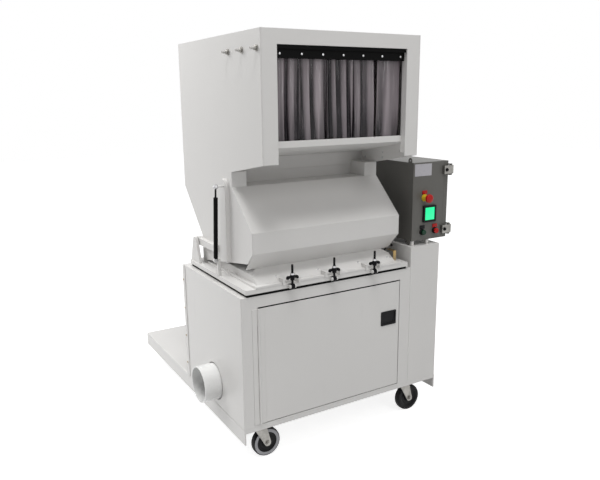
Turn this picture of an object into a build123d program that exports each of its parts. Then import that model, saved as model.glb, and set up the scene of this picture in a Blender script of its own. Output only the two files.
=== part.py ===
from build123d import *
import math
import os

os.makedirs("parts", exist_ok=True)

# Driving dimensions in millimetres
cabinet_w = 852.0
cabinet_d = 623.0
cabinet_top = 732.0
deck_top = 171.0
deck_d = 1287.0
guard_w = 169.0
guard_top = 826.0
hopper_inset = 63.5
hopper_top = 1729.0
hopper_overhang = 89.0
pipe_d = 160.0
pipe_reach = 77.0
wheel_d = 127.0
enclosure_w = 206.0
enclosure_d = 305.0
enclosure_h = 355.0

# Stock and fits
sheet = 3.0
hopper_sheet = 4.0
deck_t = 6.0
plate_t = 18.0
gasket_t = 12.0
running = 0.05
clear = 0.4
bend = 6.0

# Layout: the front faces -Y, the origin is on the floor under the middle of the whole machine
enclosure_gap = 15.0
clamp_reach = 22.0
overall_w = pipe_reach + cabinet_w + enclosure_gap + enclosure_w + clamp_reach
overall_d = hopper_overhang + deck_d
cab_l = -overall_w / 2 + pipe_reach
cab_r = cab_l + cabinet_w
cab_x = (cab_l + cab_r) / 2
hopper_w = cabinet_w - 2 * hopper_inset
cab_f = -overall_d / 2 + hopper_overhang
cab_b = cab_f + cabinet_d
guard_r = cab_r + guard_w
deck_b = cab_f + deck_d
deck_w = cabinet_w + guard_w
deck_x = (cab_l + guard_r) / 2
deck_under = deck_top - deck_t
plate_bottom = cabinet_top + gasket_t
plate_top = plate_bottom + plate_t
flange_bottom = plate_top + clear


def section_at(y):
    """Upright plane across the machine; drawn in X and Z, extruded towards the front."""
    return Plane(origin=(0, y, 0), x_dir=(1, 0, 0), z_dir=(0, -1, 0))


def side_at(x):
    """Upright plane along the machine; drawn in Y and Z, extruded towards +X."""
    return Plane(origin=(x, 0, 0), x_dir=(0, 1, 0), z_dir=(1, 0, 0))


def finish(part, name):
    """Names a finished piece and writes it."""
    part.label = name
    export_step(part, f"parts/{name}.step")


# Base deck: folded sheet with deep side flanges and short front and rear lips
deck_flange = 67.0
deck_lip = 18.0

with BuildPart() as base_deck:
    with BuildSketch(section_at(deck_b)):
        with Locations((deck_x, deck_top - deck_flange / 2)):
            folded = Rectangle(deck_w, deck_flange)
        fillet(folded.vertices().group_by(Axis.Y)[-1], bend)
        with Locations((deck_x, deck_under - deck_flange / 2)):
            Rectangle(deck_w - 2 * deck_t, deck_flange, mode=Mode.SUBTRACT)
    extrude(amount=deck_d)
    for lip_y in (cab_f + deck_t / 2, deck_b - deck_t / 2):
        with Locations((deck_x, lip_y, deck_top - deck_lip / 2)):
            Box(deck_w - 2 * bend, deck_t, deck_lip)
finish(base_deck.part, "base_deck")

# Casters: top plate with king pin, swivel fork with axle, wheel on the axle
caster_trail = 32.0
caster_inset_l = 90.0
caster_inset_r = 155.0
caster_inset_y = 55.0
wheel_z = wheel_d / 2
wheel_w = 32.0
hub_w = 36.0
axle_r = 6.0
king_r = 7.0
caster_plate_t = 6.0
boss_h = 9.0
crown_t = 6.0
fork_t = 4.0
fork_half = hub_w / 2 + clear
boss_bottom = deck_under - caster_plate_t - boss_h
crown_top = boss_bottom - clear - boss_h / 2
crown_bottom = crown_top - crown_t
caster_places = {
    "front_left": (cab_l + caster_inset_l, cab_f + caster_inset_y),
    "front_right": (guard_r - caster_inset_r, cab_f + caster_inset_y),
    "rear_left": (cab_l + caster_inset_l, deck_b - caster_inset_y),
    "rear_right": (guard_r - caster_inset_r, deck_b - caster_inset_y),
}

with BuildPart() as caster_plates:
    for swivel_x, swivel_y in caster_places.values():
        with BuildSketch(Plane.XY.offset(deck_under)):
            with Locations((swivel_x, swivel_y)):
                RectangleRounded(100, 85, 8)
        extrude(amount=-caster_plate_t)
        with Locations((swivel_x, swivel_y, deck_under - caster_plate_t)):
            Cylinder(27, boss_h, align=(Align.CENTER, Align.CENTER, Align.MAX))
        with Locations((swivel_x, swivel_y, boss_bottom)):
            Cylinder(king_r, 21, align=(Align.CENTER, Align.CENTER, Align.MAX))
        with Locations((swivel_x, swivel_y, crown_bottom - clear)):
            Cylinder(12, 5, align=(Align.CENTER, Align.CENTER, Align.MAX))
finish(caster_plates.part, "caster_plates")

for place, (swivel_x, swivel_y) in caster_places.items():
    axle_x = swivel_x + caster_trail
    with BuildPart() as caster_fork:
        for leg_front in (swivel_y - fork_half, swivel_y + fork_half + fork_t):
            with BuildSketch(section_at(leg_front)):
                with Locations((swivel_x, crown_bottom + crown_t / 2)):
                    Rectangle(54, crown_t)
                with Locations((axle_x, wheel_z)):
                    Circle(15)
                make_hull()
            extrude(amount=fork_t)
        with Locations((swivel_x, swivel_y, crown_bottom)):
            Box(54, 2 * fork_half, crown_t, align=(Align.CENTER, Align.CENTER, Align.MIN))
        with Locations((swivel_x, swivel_y, crown_top)):
            Cylinder(30, boss_h / 2, align=(Align.CENTER, Align.CENTER, Align.MIN))
        with Locations((swivel_x, swivel_y, crown_bottom)):
            Cylinder(king_r + running, 30, mode=Mode.SUBTRACT)
        with Locations(Location((axle_x, swivel_y, wheel_z), (90, 0, 0))):
            Cylinder(axle_r, 2 * (fork_half + fork_t + 9))
        for head_y in (-1, 1):
            with Locations(Location((axle_x, swivel_y + head_y * (fork_half + fork_t + 3), wheel_z), (90, 0, 0))):
                Cylinder(10, 6)
    finish(caster_fork.part, f"caster_fork_{place}")

    with BuildPart() as caster_wheel:
        with BuildSketch(Plane(origin=(axle_x, swivel_y, wheel_z), x_dir=(1, 0, 0), z_dir=(0, 0, 1))):
            with BuildLine():
                Polyline(
                    (axle_r + running, -hub_w / 2),
                    (20, -hub_w / 2),
                    (23, -9),
                    (46, -9),
                    (49, -wheel_w / 2),
                    (wheel_z - 4, -wheel_w / 2),
                    (wheel_z, -wheel_w / 2 + 5),
                    (wheel_z, wheel_w / 2 - 5),
                    (wheel_z - 4, wheel_w / 2),
                    (49, wheel_w / 2),
                    (46, 9),
                    (23, 9),
                    (20, hub_w / 2),
                    (axle_r + running, hub_w / 2),
                    close=True,
                )
            make_face()
        revolve(axis=Axis((axle_x, swivel_y, wheel_z), (0, 1, 0)))
    finish(caster_wheel.part, f"caster_wheel_{place}")

# Cutting line: the rotor's axis, the motor's axis and the chamber that hangs in the cabinet
rotor_y = cab_b - 323.0
rotor_z = 600.0
rotor_r = 125.0
shaft_r = 25.0
motor_y = cab_b - 108.0
motor_z = 300.0
motor_r = 85.0
motor_shaft_r = 14.0
chamber_w = 596.0
chamber_d = 320.0
chamber_wall = 20.0
chamber_bottom = 455.0
chamber_opening_gap = 7.0
pipe_y = rotor_y - 7.0
pipe_z = 274.0
pipe_wall = 5.0
pipe_hole_gap = 4.0
shaft_hole_gap = 10.0

# Cabinet: welded sheet body, open at the back and at the bottom
door_l = cab_l + 75.0
door_r = cab_r - 63.0
door_bottom = deck_top + 11.0
door_top = cabinet_top - 53.0
door_gap = 3.0
door_head_gap = 6.0
rear_return = 26.0
hinge_r = 4.5
hinge_pin_r = 2.0
hinge_x = door_l - door_gap / 2
hinge_y = cab_f - hinge_r - 0.5
hinge_leaf = 22.0
hinge_leaf_t = 2.0
knuckles = 7
knuckle_h = (door_top - door_bottom) / knuckles
hinge_mid = (door_bottom + door_top) / 2

with BuildPart() as cabinet_shell:
    with Locations((cab_x, (cab_f + cab_b) / 2, (deck_top + cabinet_top) / 2)):
        Box(cabinet_w, cabinet_d, cabinet_top - deck_top)
    upright = cabinet_shell.edges().filter_by(Axis.Z).group_by(Axis.Y)[0]
    fillet(upright, sheet)
    with Locations((cab_x, (cab_f + sheet + cab_b) / 2, (deck_top + cabinet_top - sheet) / 2)):
        Box(cabinet_w - 2 * sheet, cabinet_d - sheet, cabinet_top - sheet - deck_top, mode=Mode.SUBTRACT)
    with Locations(((door_l + door_r) / 2, cab_f, (door_bottom - door_gap + door_top + door_head_gap) / 2)):
        Box(
            door_r - door_l + 2 * door_gap,
            4 * sheet,
            door_top + door_head_gap - door_bottom + door_gap,
            mode=Mode.SUBTRACT,
        )
    with Locations((cab_x, rotor_y, cabinet_top)):
        Box(chamber_w + 2 * chamber_opening_gap, chamber_d + 2 * chamber_opening_gap, 4 * sheet, mode=Mode.SUBTRACT)
    with Locations(Location((cab_l, pipe_y, pipe_z), (0, 90, 0))):
        Cylinder(pipe_d / 2 + pipe_hole_gap, 4 * sheet, mode=Mode.SUBTRACT)
    with Locations(Location((cab_r, rotor_y, rotor_z), (0, 90, 0))):
        Cylinder(shaft_r + shaft_hole_gap, 4 * sheet, mode=Mode.SUBTRACT)
    with Locations(Location((cab_r, motor_y, motor_z), (0, 90, 0))):
        Cylinder(motor_shaft_r + shaft_hole_gap, 4 * sheet, mode=Mode.SUBTRACT)
    with Locations((hinge_x - (hinge_r + clear + hinge_leaf / 2), cab_f - hinge_leaf_t / 2, hinge_mid)):
        Box(hinge_leaf, hinge_leaf_t, door_top - door_bottom)
    for knuckle in range(0, knuckles, 2):
        knuckle_z = door_bottom + knuckle_h * (knuckle + 0.5)
        with Locations((hinge_x, hinge_y, knuckle_z)):
            Cylinder(hinge_r, knuckle_h - clear)
        with Locations((hinge_x - (hinge_r + clear) / 2, cab_f - hinge_leaf_t / 2, knuckle_z)):
            Box(hinge_r + clear, hinge_leaf_t, knuckle_h - clear)
    with Locations((hinge_x, hinge_y, hinge_mid)):
        Cylinder(hinge_pin_r, door_top - door_bottom - clear)
finish(cabinet_shell.part, "cabinet_shell")

# Rear cover: folded sheet that wraps the open back, held by a row of screws on its left return
cover_h = cabinet_top - deck_top - 2 * sheet
cover_screws = 4

with BuildPart() as rear_cover:
    with Locations((cab_x, cab_b + sheet / 2, deck_top + sheet + cover_h / 2)):
        Box(cabinet_w, sheet, cover_h)
    for return_x in (cab_l - sheet / 2, cab_r - 1.5 * sheet):
        with Locations((return_x, cab_b + sheet - rear_return / 2, deck_top + sheet + cover_h / 2)):
            Box(sheet, rear_return, cover_h)
    screw_pitch = cover_h / cover_screws
    for row in range(cover_screws):
        screw_z = deck_top + sheet + screw_pitch * (row + 0.5)
        with Locations(Location((cab_l - sheet, cab_b - 8, screw_z), (0, -90, 0))):
            Cylinder(5, 2.5, align=(Align.CENTER, Align.CENTER, Align.MIN))
finish(rear_cover.part, "rear_cover")

# Front door: folded pan on a piano hinge, with a flush paddle latch
door_depth = 20.0
door_sheet = 2.5
latch_w = 84.0
latch_h = 66.0
latch_x = door_r - 60.0
latch_z = door_bottom + 334.0
latch_flange = 3.0
latch_depth = 16.0
latch_rim = 7.0
latch_cut_w = latch_w - 8.0
latch_cut_h = latch_h - 8.0

with BuildPart() as front_door:
    with Locations(((door_l + door_r) / 2, cab_f + door_depth / 2, (door_bottom + door_top) / 2)):
        Box(door_r - door_l, door_depth, door_top - door_bottom)
    inner = front_door.faces().sort_by(Axis.Y)[-1]
    offset(amount=-door_sheet, openings=inner)
    with Locations((latch_x, cab_f, latch_z)):
        Box(latch_cut_w + 2 * clear, 4 * door_sheet, latch_cut_h + 2 * clear, mode=Mode.SUBTRACT)
    with Locations((hinge_x + (hinge_r + clear + hinge_leaf / 2), cab_f - hinge_leaf_t / 2, hinge_mid)):
        Box(hinge_leaf, hinge_leaf_t, door_top - door_bottom)
    for knuckle in range(1, knuckles, 2):
        knuckle_z = door_bottom + knuckle_h * (knuckle + 0.5)
        with Locations((hinge_x, hinge_y, knuckle_z)):
            Cylinder(hinge_r, knuckle_h - clear)
        with Locations((hinge_x + (hinge_r + clear) / 2, cab_f - hinge_leaf_t / 2, knuckle_z)):
            Box(hinge_r + clear, hinge_leaf_t, knuckle_h - clear)
    with Locations((hinge_x, hinge_y, hinge_mid)):
        Cylinder(hinge_pin_r + running, door_top - door_bottom, mode=Mode.SUBTRACT)
finish(front_door.part, "front_door")

paddle_w = latch_w - 2 * latch_rim - 2 * clear
paddle_h = latch_h - 2 * latch_rim - 2 * clear
paddle_pin_z = latch_z + paddle_h / 2 - 6
paddle_y = cab_f + 3.0
paddle_t = 5.0

with BuildPart() as latch_cup:
    with BuildSketch(section_at(cab_f)):
        with Locations((latch_x, latch_z)):
            RectangleRounded(latch_w, latch_h, 4)
    extrude(amount=latch_flange)
    with Locations((latch_x, cab_f + latch_depth / 2, latch_z)):
        Box(latch_cut_w, latch_depth, latch_cut_h)
    with Locations((latch_x, cab_f - latch_flange, latch_z)):
        Box(
            latch_w - 2 * latch_rim,
            latch_depth + latch_flange - door_sheet,
            latch_h - 2 * latch_rim,
            align=(Align.CENTER, Align.MIN, Align.CENTER),
            mode=Mode.SUBTRACT,
        )
    with Locations(Location((latch_x, paddle_y, paddle_pin_z), (0, 90, 0))):
        Cylinder(2, latch_w - 2 * latch_rim)
finish(latch_cup.part, "latch_cup")

with BuildPart() as latch_paddle:
    with Locations((latch_x, paddle_y, latch_z)):
        Box(paddle_w, paddle_t, paddle_h)
    fillet(latch_paddle.edges().filter_by(Axis.X).group_by(Axis.Z)[-1], paddle_t / 2 - 0.1)
    with Locations(Location((latch_x, paddle_y, paddle_pin_z), (0, 90, 0))):
        Cylinder(2 + running, latch_w, mode=Mode.SUBTRACT)
    with Locations((latch_x, paddle_y - paddle_t / 2, latch_z - paddle_h / 2 + 8)):
        Box(paddle_w - 16, 3, 9, mode=Mode.SUBTRACT)
finish(latch_paddle.part, "latch_paddle")

# Cutting chamber: thick walled box with bearings on its ends and a bed knife on each long wall
bearing_r = 48.0
bearing_w = 30.0
bed_reach = chamber_d / 2 - chamber_wall - rotor_r - 3.0
bed_h = 16.0

with BuildPart() as cutting_chamber:
    with BuildSketch(Plane.XY.offset(chamber_bottom)):
        with Locations((cab_x, rotor_y)):
            Rectangle(chamber_w, chamber_d)
            Rectangle(chamber_w - 2 * chamber_wall, chamber_d - 2 * chamber_wall, mode=Mode.SUBTRACT)
    extrude(amount=plate_bottom - chamber_bottom)
    for end in (-1, 1):
        with Locations(Location((cab_x + end * (chamber_w + bearing_w) / 2, rotor_y, rotor_z), (0, 90, 0))):
            Cylinder(bearing_r, bearing_w)
        bed_y = rotor_y + end * (rotor_r + 3.0 + bed_reach / 2)
        with Locations((cab_x, bed_y, rotor_z)):
            Box(chamber_w - 2 * chamber_wall, bed_reach, bed_h)
    with Locations(Location((cab_x, rotor_y, rotor_z), (0, 90, 0))):
        Cylinder(shaft_r + running, chamber_w + 4 * bearing_w, mode=Mode.SUBTRACT)
finish(cutting_chamber.part, "cutting_chamber")

# Rotor with three knife seats, its knives and the driven pulley on the same shaft
rotor_len = chamber_w - 2 * chamber_wall - 16.0
hub_r = 98.0
knives = 3
knife_t = 16.0
knife_root = 70.0
pulley_gap = 42.0
pulley_w = 50.0
pulley_r = 135.0
motor_pulley_r = 58.0
pulley_x = cab_r + pulley_gap + pulley_w / 2
shaft_l = cab_x - chamber_w / 2 - bearing_w
shaft_end = pulley_x + pulley_w / 2 + 8.0

groove = 7.0
belt_t = 8.0
belt_count = 3


def pulley_rim(outer_r, bore_r):
    """Half section of a V belt pulley: points along its axis and out from it."""
    pitch = pulley_w / belt_count
    rim = [(-pulley_w / 2, bore_r), (-pulley_w / 2, outer_r)]
    for belt in range(belt_count):
        middle = -pulley_w / 2 + pitch * (belt + 0.5)
        rim += [(middle - 5, outer_r), (middle - 2, outer_r - groove)]
        rim += [(middle + 2, outer_r - groove), (middle + 5, outer_r)]
    return rim + [(pulley_w / 2, outer_r), (pulley_w / 2, bore_r)]


with BuildPart() as rotor:
    with Locations(Location((cab_x, rotor_y, rotor_z), (0, 90, 0))):
        Cylinder(hub_r, rotor_len)
    with Locations(Location(((shaft_l + shaft_end) / 2, rotor_y, rotor_z), (0, 90, 0))):
        Cylinder(shaft_r, shaft_end - shaft_l)
    with BuildSketch(side_at(cab_x - rotor_len / 2)):
        with Locations((rotor_y, rotor_z)):
            with PolarLocations((knife_root + hub_r) / 2, knives, start_angle=90):
                Rectangle(hub_r - knife_root + 10, 2 * knife_t)
    extrude(amount=rotor_len, mode=Mode.SUBTRACT)
    with BuildSketch(Plane(origin=(pulley_x, rotor_y, rotor_z), x_dir=(1, 0, 0), z_dir=(0, -1, 0))):
        with BuildLine():
            Polyline(*pulley_rim(pulley_r, shaft_r / 2), close=True)
        make_face()
    revolve(axis=Axis((pulley_x, rotor_y, rotor_z), (1, 0, 0)))
finish(rotor.part, "rotor")

knife_lift = (rotor_r - knife_root) / 2 + knife_root
with BuildPart() as fly_knives:
    with BuildSketch(side_at(cab_x - rotor_len / 2)):
        with Locations((rotor_y, rotor_z)):
            with PolarLocations(knife_lift, knives, start_angle=90):
                with Locations((0, knife_t / 2)):
                    Rectangle(rotor_r - knife_root, knife_t)
    extrude(amount=rotor_len)
    tips = fly_knives.edges().filter_by(Axis.X)
    tip_edges = [edge for edge in tips if math.hypot(edge.center().Y - rotor_y, edge.center().Z - rotor_z) > rotor_r + 0.5]
    chamfer(tip_edges, 6)
finish(fly_knives.part, "fly_knives")

# Motor, its pulley and the belts that run inside the guard
motor_w = 250.0
motor_l = cab_r - 307.0
motor_r_end = motor_l + motor_w

with BuildPart() as motor_pulley:
    with BuildSketch(Plane(origin=(pulley_x, motor_y, motor_z), x_dir=(1, 0, 0), z_dir=(0, -1, 0))):
        with BuildLine():
            Polyline(*pulley_rim(motor_pulley_r, motor_shaft_r / 2), close=True)
        make_face()
    revolve(axis=Axis((pulley_x, motor_y, motor_z), (1, 0, 0)))
    with Locations(Location(((motor_r_end - 40 + shaft_end) / 2, motor_y, motor_z), (0, 90, 0))):
        Cylinder(motor_shaft_r, shaft_end - motor_r_end + 40)
finish(motor_pulley.part, "motor_pulley")

with BuildPart() as drive_belts:
    with BuildSketch(side_at(pulley_x - pulley_w / 2 + 2)):
        for belt_grow, belt_mode in ((clear + belt_t, Mode.ADD), (clear, Mode.SUBTRACT)):
            with BuildSketch(mode=Mode.PRIVATE) as loop:
                with Locations((rotor_y, rotor_z)):
                    Circle(pulley_r + belt_grow)
                with Locations((motor_y, motor_z)):
                    Circle(motor_pulley_r + belt_grow)
                make_hull()
            add(loop.sketch, mode=belt_mode)
    extrude(amount=pulley_w - 4)
finish(drive_belts.part, "drive_belts")

foot_h = motor_z - motor_r - deck_top
with BuildPart() as motor:
    with Locations(Location(((motor_l + motor_r_end) / 2, motor_y, motor_z), (0, 90, 0))):
        Cylinder(motor_r, motor_w)
    with BuildSketch(section_at(motor_y + 70)):
        with Locations(((motor_l + motor_r_end) / 2, deck_top + foot_h / 2 + 10)):
            Rectangle(motor_w - 60, foot_h + 20)
    extrude(amount=140)
    with Locations(((motor_l + motor_r_end) / 2, motor_y, motor_z + motor_r + 10)):
        Box(90, 80, 50)
    with Locations(Location((motor_r_end - 20, motor_y, motor_z), (0, 90, 0))):
        Cylinder(motor_shaft_r + running, 60, mode=Mode.SUBTRACT)
finish(motor.part, "motor")

with BuildPart() as drive_guard:
    with Locations(((cab_r + guard_r) / 2, (cab_f + cab_b) / 2, (deck_top + guard_top) / 2)):
        Box(guard_w, cabinet_d, guard_top - deck_top)
    fillet(drive_guard.edges().filter_by(Axis.Z).group_by(Axis.Y)[0], sheet)
    with Locations(((cab_r + guard_r) / 2, (cab_f + cab_b) / 2, (deck_top + guard_top) / 2 - sheet)):
        Box(guard_w - 2 * sheet, cabinet_d - 2 * sheet, guard_top - deck_top, mode=Mode.SUBTRACT)
    for hole_y, hole_z, hole_r in ((rotor_y, rotor_z, shaft_r), (motor_y, motor_z, motor_shaft_r)):
        with Locations(Location((cab_r, hole_y, hole_z), (0, 90, 0))):
            Cylinder(hole_r + shaft_hole_gap, 4 * sheet, mode=Mode.SUBTRACT)
finish(drive_guard.part, "drive_guard")

# Sizing screen: perforated half tube under the rotor with a rail along each long edge
screen_r = rotor_r + 6.0
screen_t = 4.0
screen_len = chamber_w - 2 * chamber_wall - 2.0
screen_rail = chamber_d / 2 - chamber_wall
screen_hole_r = 14.0
screen_rows = 3
screen_columns = 10

with BuildPart() as sizing_screen:
    with BuildSketch(side_at(cab_x - screen_len / 2)):
        with Locations((rotor_y, rotor_z)):
            Circle(screen_r + screen_t)
            Circle(screen_r, mode=Mode.SUBTRACT)
        with Locations((rotor_y, rotor_z - bed_h / 2)):
            Rectangle(4 * screen_r, 2 * screen_r, align=(Align.CENTER, Align.MIN), mode=Mode.SUBTRACT)
        for edge in (-1, 1):
            with Locations((rotor_y + edge * (screen_r + screen_rail) / 2, rotor_z - bed_h)):
                Rectangle(screen_rail - screen_r, bed_h)
    extrude(amount=screen_len)
    for row in range(screen_rows):
        tilt = (row - (screen_rows - 1) / 2) * 42.0
        for column in range(screen_columns):
            hole_x = cab_x + (column - (screen_columns - 1) / 2) * screen_len / screen_columns
            with Locations(Location((hole_x, rotor_y, rotor_z), (tilt, 0, 0))):
                Cylinder(screen_hole_r, 2 * screen_r, align=(Align.CENTER, Align.CENTER, Align.MAX), mode=Mode.SUBTRACT)
finish(sizing_screen.part, "sizing_screen")

# Discharge chute under the chamber, tapering down to the outlet pipe on the left
chute_l = cab_x - chamber_w / 2
chute_end = chute_l + 200.0
chute_bottom = deck_top + 14.0
chute_half = pipe_d / 2 + 12.0

with BuildPart() as discharge_chute:
    with BuildSketch(Plane.XY.offset(chamber_bottom)):
        with Locations((cab_x, rotor_y)):
            Rectangle(chamber_w, chamber_d)
    with BuildSketch(Plane.XY.offset(chute_bottom)):
        with Locations(((chute_l + chute_end) / 2, pipe_y)):
            Rectangle(chute_end - chute_l, 2 * chute_half)
    loft()
    offset(amount=-sheet, openings=discharge_chute.faces().sort_by(Axis.Z)[-1])
    with Locations(Location((chute_l, pipe_y, pipe_z), (0, 90, 0))):
        Cylinder(pipe_d / 2 - pipe_wall, 4 * sheet, mode=Mode.SUBTRACT)
finish(discharge_chute.part, "discharge_chute")

with BuildPart() as outlet_pipe:
    with BuildSketch(side_at(cab_l - pipe_reach)):
        with Locations((pipe_y, pipe_z)):
            Circle(pipe_d / 2)
    extrude(amount=pipe_reach)
    with BuildSketch(side_at(cab_l)):
        with Locations((pipe_y, pipe_z)):
            Circle(pipe_d / 2 - 1)
    extrude(amount=chute_l - cab_l)
    with BuildSketch(side_at(cab_l - pipe_reach)):
        with Locations((pipe_y, pipe_z)):
            Circle(pipe_d / 2 - pipe_wall)
    extrude(amount=chute_l - cab_l + pipe_reach, mode=Mode.SUBTRACT)
finish(outlet_pipe.part, "outlet_pipe")

# Chamber plate on its gasket, with the clamp lugs, the strut post and the hopper's pivot brackets
plate_margin = 20.5
plate_w = cabinet_w - 2 * plate_margin
plate_front = cab_f - 6.0
plate_back = cab_b - 41.0
plate_l = cab_x - plate_w / 2
plate_y = (plate_front + plate_back) / 2
plate_d = plate_back - plate_front
lug_y = cab_f - 18.0
lug_z = plate_bottom + plate_t / 2
lug_r = 8.0
lug_t = 6.0
bolt_eye_r = 11.0
lug_half = 8.0 + clear
lug_pin_r = 4.0
clamp_places = (cab_l + 222.0, cab_x - 3.0, cab_r - 220.0)
pivot_y = cab_b - 93.0
pivot_z = plate_top + 98.0
pivot_r = 10.0
bracket_t = 12.0
bracket_in = 6.0
bracket_foot = 54.0
bracket_head = 18.0
strut_x = cab_l + 11.0
strut_low_y = cab_f + 255.0
strut_low_z = plate_top + 68.0
strut_pin_r = 4.0
eye_t = 12.0
eye_r = 9.0
post_w = 14.0
post_drop = 14.0
post_stud_r = 6.5

with BuildPart() as chamber_gasket:
    with BuildSketch(Plane.XY.offset(cabinet_top)):
        with Locations((cab_x, plate_y)):
            Rectangle(plate_w - 14, plate_d - 14)
        with Locations((cab_x, rotor_y)):
            Rectangle(chamber_w + 2 * chamber_opening_gap, chamber_d + 2 * chamber_opening_gap, mode=Mode.SUBTRACT)
    extrude(amount=gasket_t)
finish(chamber_gasket.part, "chamber_gasket")

with BuildPart() as chamber_plate:
    with BuildSketch(Plane.XY.offset(plate_bottom)):
        with Locations((cab_x, plate_y)):
            RectangleRounded(plate_w, plate_d, 6)
        with Locations((cab_x, rotor_y)):
            Rectangle(chamber_w - 2 * chamber_wall, chamber_d - 2 * chamber_wall, mode=Mode.SUBTRACT)
    extrude(amount=plate_t)
    for clamp_x in clamp_places:
        for lug_x in (clamp_x - lug_half - lug_t, clamp_x + lug_half):
            with BuildSketch(side_at(lug_x)):
                with Locations((lug_y, lug_z)):
                    Circle(lug_r)
                with Locations(((lug_y + plate_front) / 2, lug_z)):
                    Rectangle(plate_front - lug_y, 2 * lug_r - 4)
            extrude(amount=lug_t)
        with Locations(Location((clamp_x, lug_y, lug_z), (0, 90, 0))):
            Cylinder(lug_pin_r, 2 * (lug_half + lug_t))
finish(chamber_plate.part, "chamber_plate")

pin_end_gap = 1.0
pin_len = (plate_w - hopper_w) / 2 - bracket_in - pin_end_gap

with BuildPart() as hopper_supports:
    for side, bracket_x in ((1, plate_l + bracket_in), (-1, plate_l + plate_w - bracket_in - bracket_t)):
        with BuildSketch(side_at(bracket_x)):
            with Locations((pivot_y, plate_top + 3)):
                Rectangle(2 * bracket_foot - 10, 6)
            with Locations((pivot_y, pivot_z)):
                Circle(bracket_head)
            make_hull()
        extrude(amount=bracket_t)
        pin_x = cab_x - side * (hopper_w / 2 + pin_end_gap + pin_len / 2)
        with Locations(Location((pin_x, pivot_y, pivot_z), (0, 90, 0))):
            Cylinder(pivot_r, pin_len)
    post_x = strut_x + eye_t / 2 + clear + post_w / 2
    post_top = strut_low_z - post_drop
    with Locations((post_x, strut_low_y, plate_top)):
        Box(post_w, post_w, post_top - plate_top, align=(Align.CENTER, Align.CENTER, Align.MIN))
    with Locations((post_x, strut_low_y, post_top)):
        Cylinder(post_stud_r, post_drop + strut_pin_r + 1, align=(Align.CENTER, Align.CENTER, Align.MIN))
    with Locations(Location((strut_x, strut_low_y, strut_low_z), (0, 90, 0))):
        Cylinder(strut_pin_r, eye_t + 4 * clear + 6)
    with Locations(Location((strut_x - eye_t / 2 - clear, strut_low_y, strut_low_z), (0, -90, 0))):
        Cylinder(6.5, 3, align=(Align.CENTER, Align.CENTER, Align.MIN))
finish(hopper_supports.part, "hopper_supports")

# Swing bolt clamps: an eye bolt with collar and nut, and a T-bar that turns on the bolt
bolt_r = 5.0
bolt_top = plate_top + 82.0
bar_bottom = plate_top + 22.0
bar_h = 16.0
bar_half = 27.0

for number, clamp_x in enumerate(clamp_places, start=1):
    with BuildPart() as swing_bolt:
        with Locations(Location((clamp_x, lug_y, lug_z), (0, 90, 0))):
            Cylinder(bolt_eye_r, 16)
        with Locations((clamp_x, lug_y, lug_z)):
            Cylinder(bolt_r, bolt_top - lug_z, align=(Align.CENTER, Align.CENTER, Align.MIN))
        fillet(swing_bolt.edges().group_by(Axis.Z)[-1], 2)
        with Locations((clamp_x, lug_y, bar_bottom - clear)):
            Cylinder(9, 4, align=(Align.CENTER, Align.CENTER, Align.MAX))
        with BuildSketch(Plane.XY.offset(bar_bottom + bar_h + clear)):
            with Locations((clamp_x, lug_y)):
                RegularPolygon(9, 6)
        extrude(amount=8)
        with Locations(Location((clamp_x, lug_y, lug_z), (0, 90, 0))):
            Cylinder(lug_pin_r + running, 20, mode=Mode.SUBTRACT)
    finish(swing_bolt.part, f"swing_bolt_{number}")

    with BuildPart() as clamp_bar:
        with Locations((clamp_x, lug_y, bar_bottom)):
            Cylinder(10, bar_h, align=(Align.CENTER, Align.CENTER, Align.MIN))
        with BuildSketch(section_at(lug_y + 6)):
            with BuildLine():
                Polyline(
                    (clamp_x - bar_half, bar_bottom - 5),
                    (clamp_x - bar_half + 7, bar_bottom - 5),
                    (clamp_x - bar_half + 10, bar_bottom + 5),
                    (clamp_x + bar_half - 10, bar_bottom + 5),
                    (clamp_x + bar_half - 7, bar_bottom - 5),
                    (clamp_x + bar_half, bar_bottom - 5),
                    (clamp_x + bar_half, bar_bottom + 8),
                    (clamp_x + bar_half - 4, bar_bottom + 13),
                    (clamp_x - bar_half + 4, bar_bottom + 13),
                    (clamp_x - bar_half, bar_bottom + 8),
                    close=True,
                )
            make_face()
        extrude(amount=12)
        with Locations((clamp_x, lug_y, bar_bottom)):
            Cylinder(bolt_r + running, 60, mode=Mode.SUBTRACT)
    finish(clamp_bar.part, f"clamp_bar_{number}")

# Hopper: side profile points as offsets from the cabinet front and heights over the floor
hop_l = cab_x - hopper_w / 2
hop_r = hop_l + hopper_w
hop_f = cab_f - hopper_overhang
hop_b = cab_b + 94.0
lip_z = plate_top + 488.0
neck_y = cab_f + 186.0
neck_top = plate_top + 439.0
neck_bottom = plate_top + 378.0
recess_y = neck_y + 112.0
belly_y = cab_f + 16.0
belly_top = plate_top + 217.0
belly_bottom = plate_top + 133.0
toe_y = cab_f + 62.0
toe_z = plate_top + 86.0
skirt_y = cab_f + 83.0
skirt_z = plate_top + 57.0
heel_y = cab_b - 101.0
heel_z = plate_top + 120.0
break_z = plate_top + 326.0
flange_t = 8.0
flange_top = flange_bottom + flange_t
flange_rim = 8.0

with BuildPart() as hopper_sides:
    for side_x in (hop_l, hop_r - hopper_sheet):
        with BuildSketch(side_at(side_x)):
            with BuildLine():
                Polyline(
                    (hop_f, hopper_top),
                    (hop_b, hopper_top),
                    (hop_b, break_z),
                    (heel_y, heel_z),
                    (heel_y, flange_top),
                    (heel_y - 20, flange_top),
                    (toe_y, toe_z),
                    (belly_y, belly_bottom),
                    (belly_y, belly_top),
                    (neck_y, neck_bottom),
                    (neck_y, neck_top),
                    (hop_f, lip_z),
                    close=True,
                )
            make_face()
        extrude(amount=hopper_sheet)
finish(hopper_sides.part, "hopper_sides")

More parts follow.
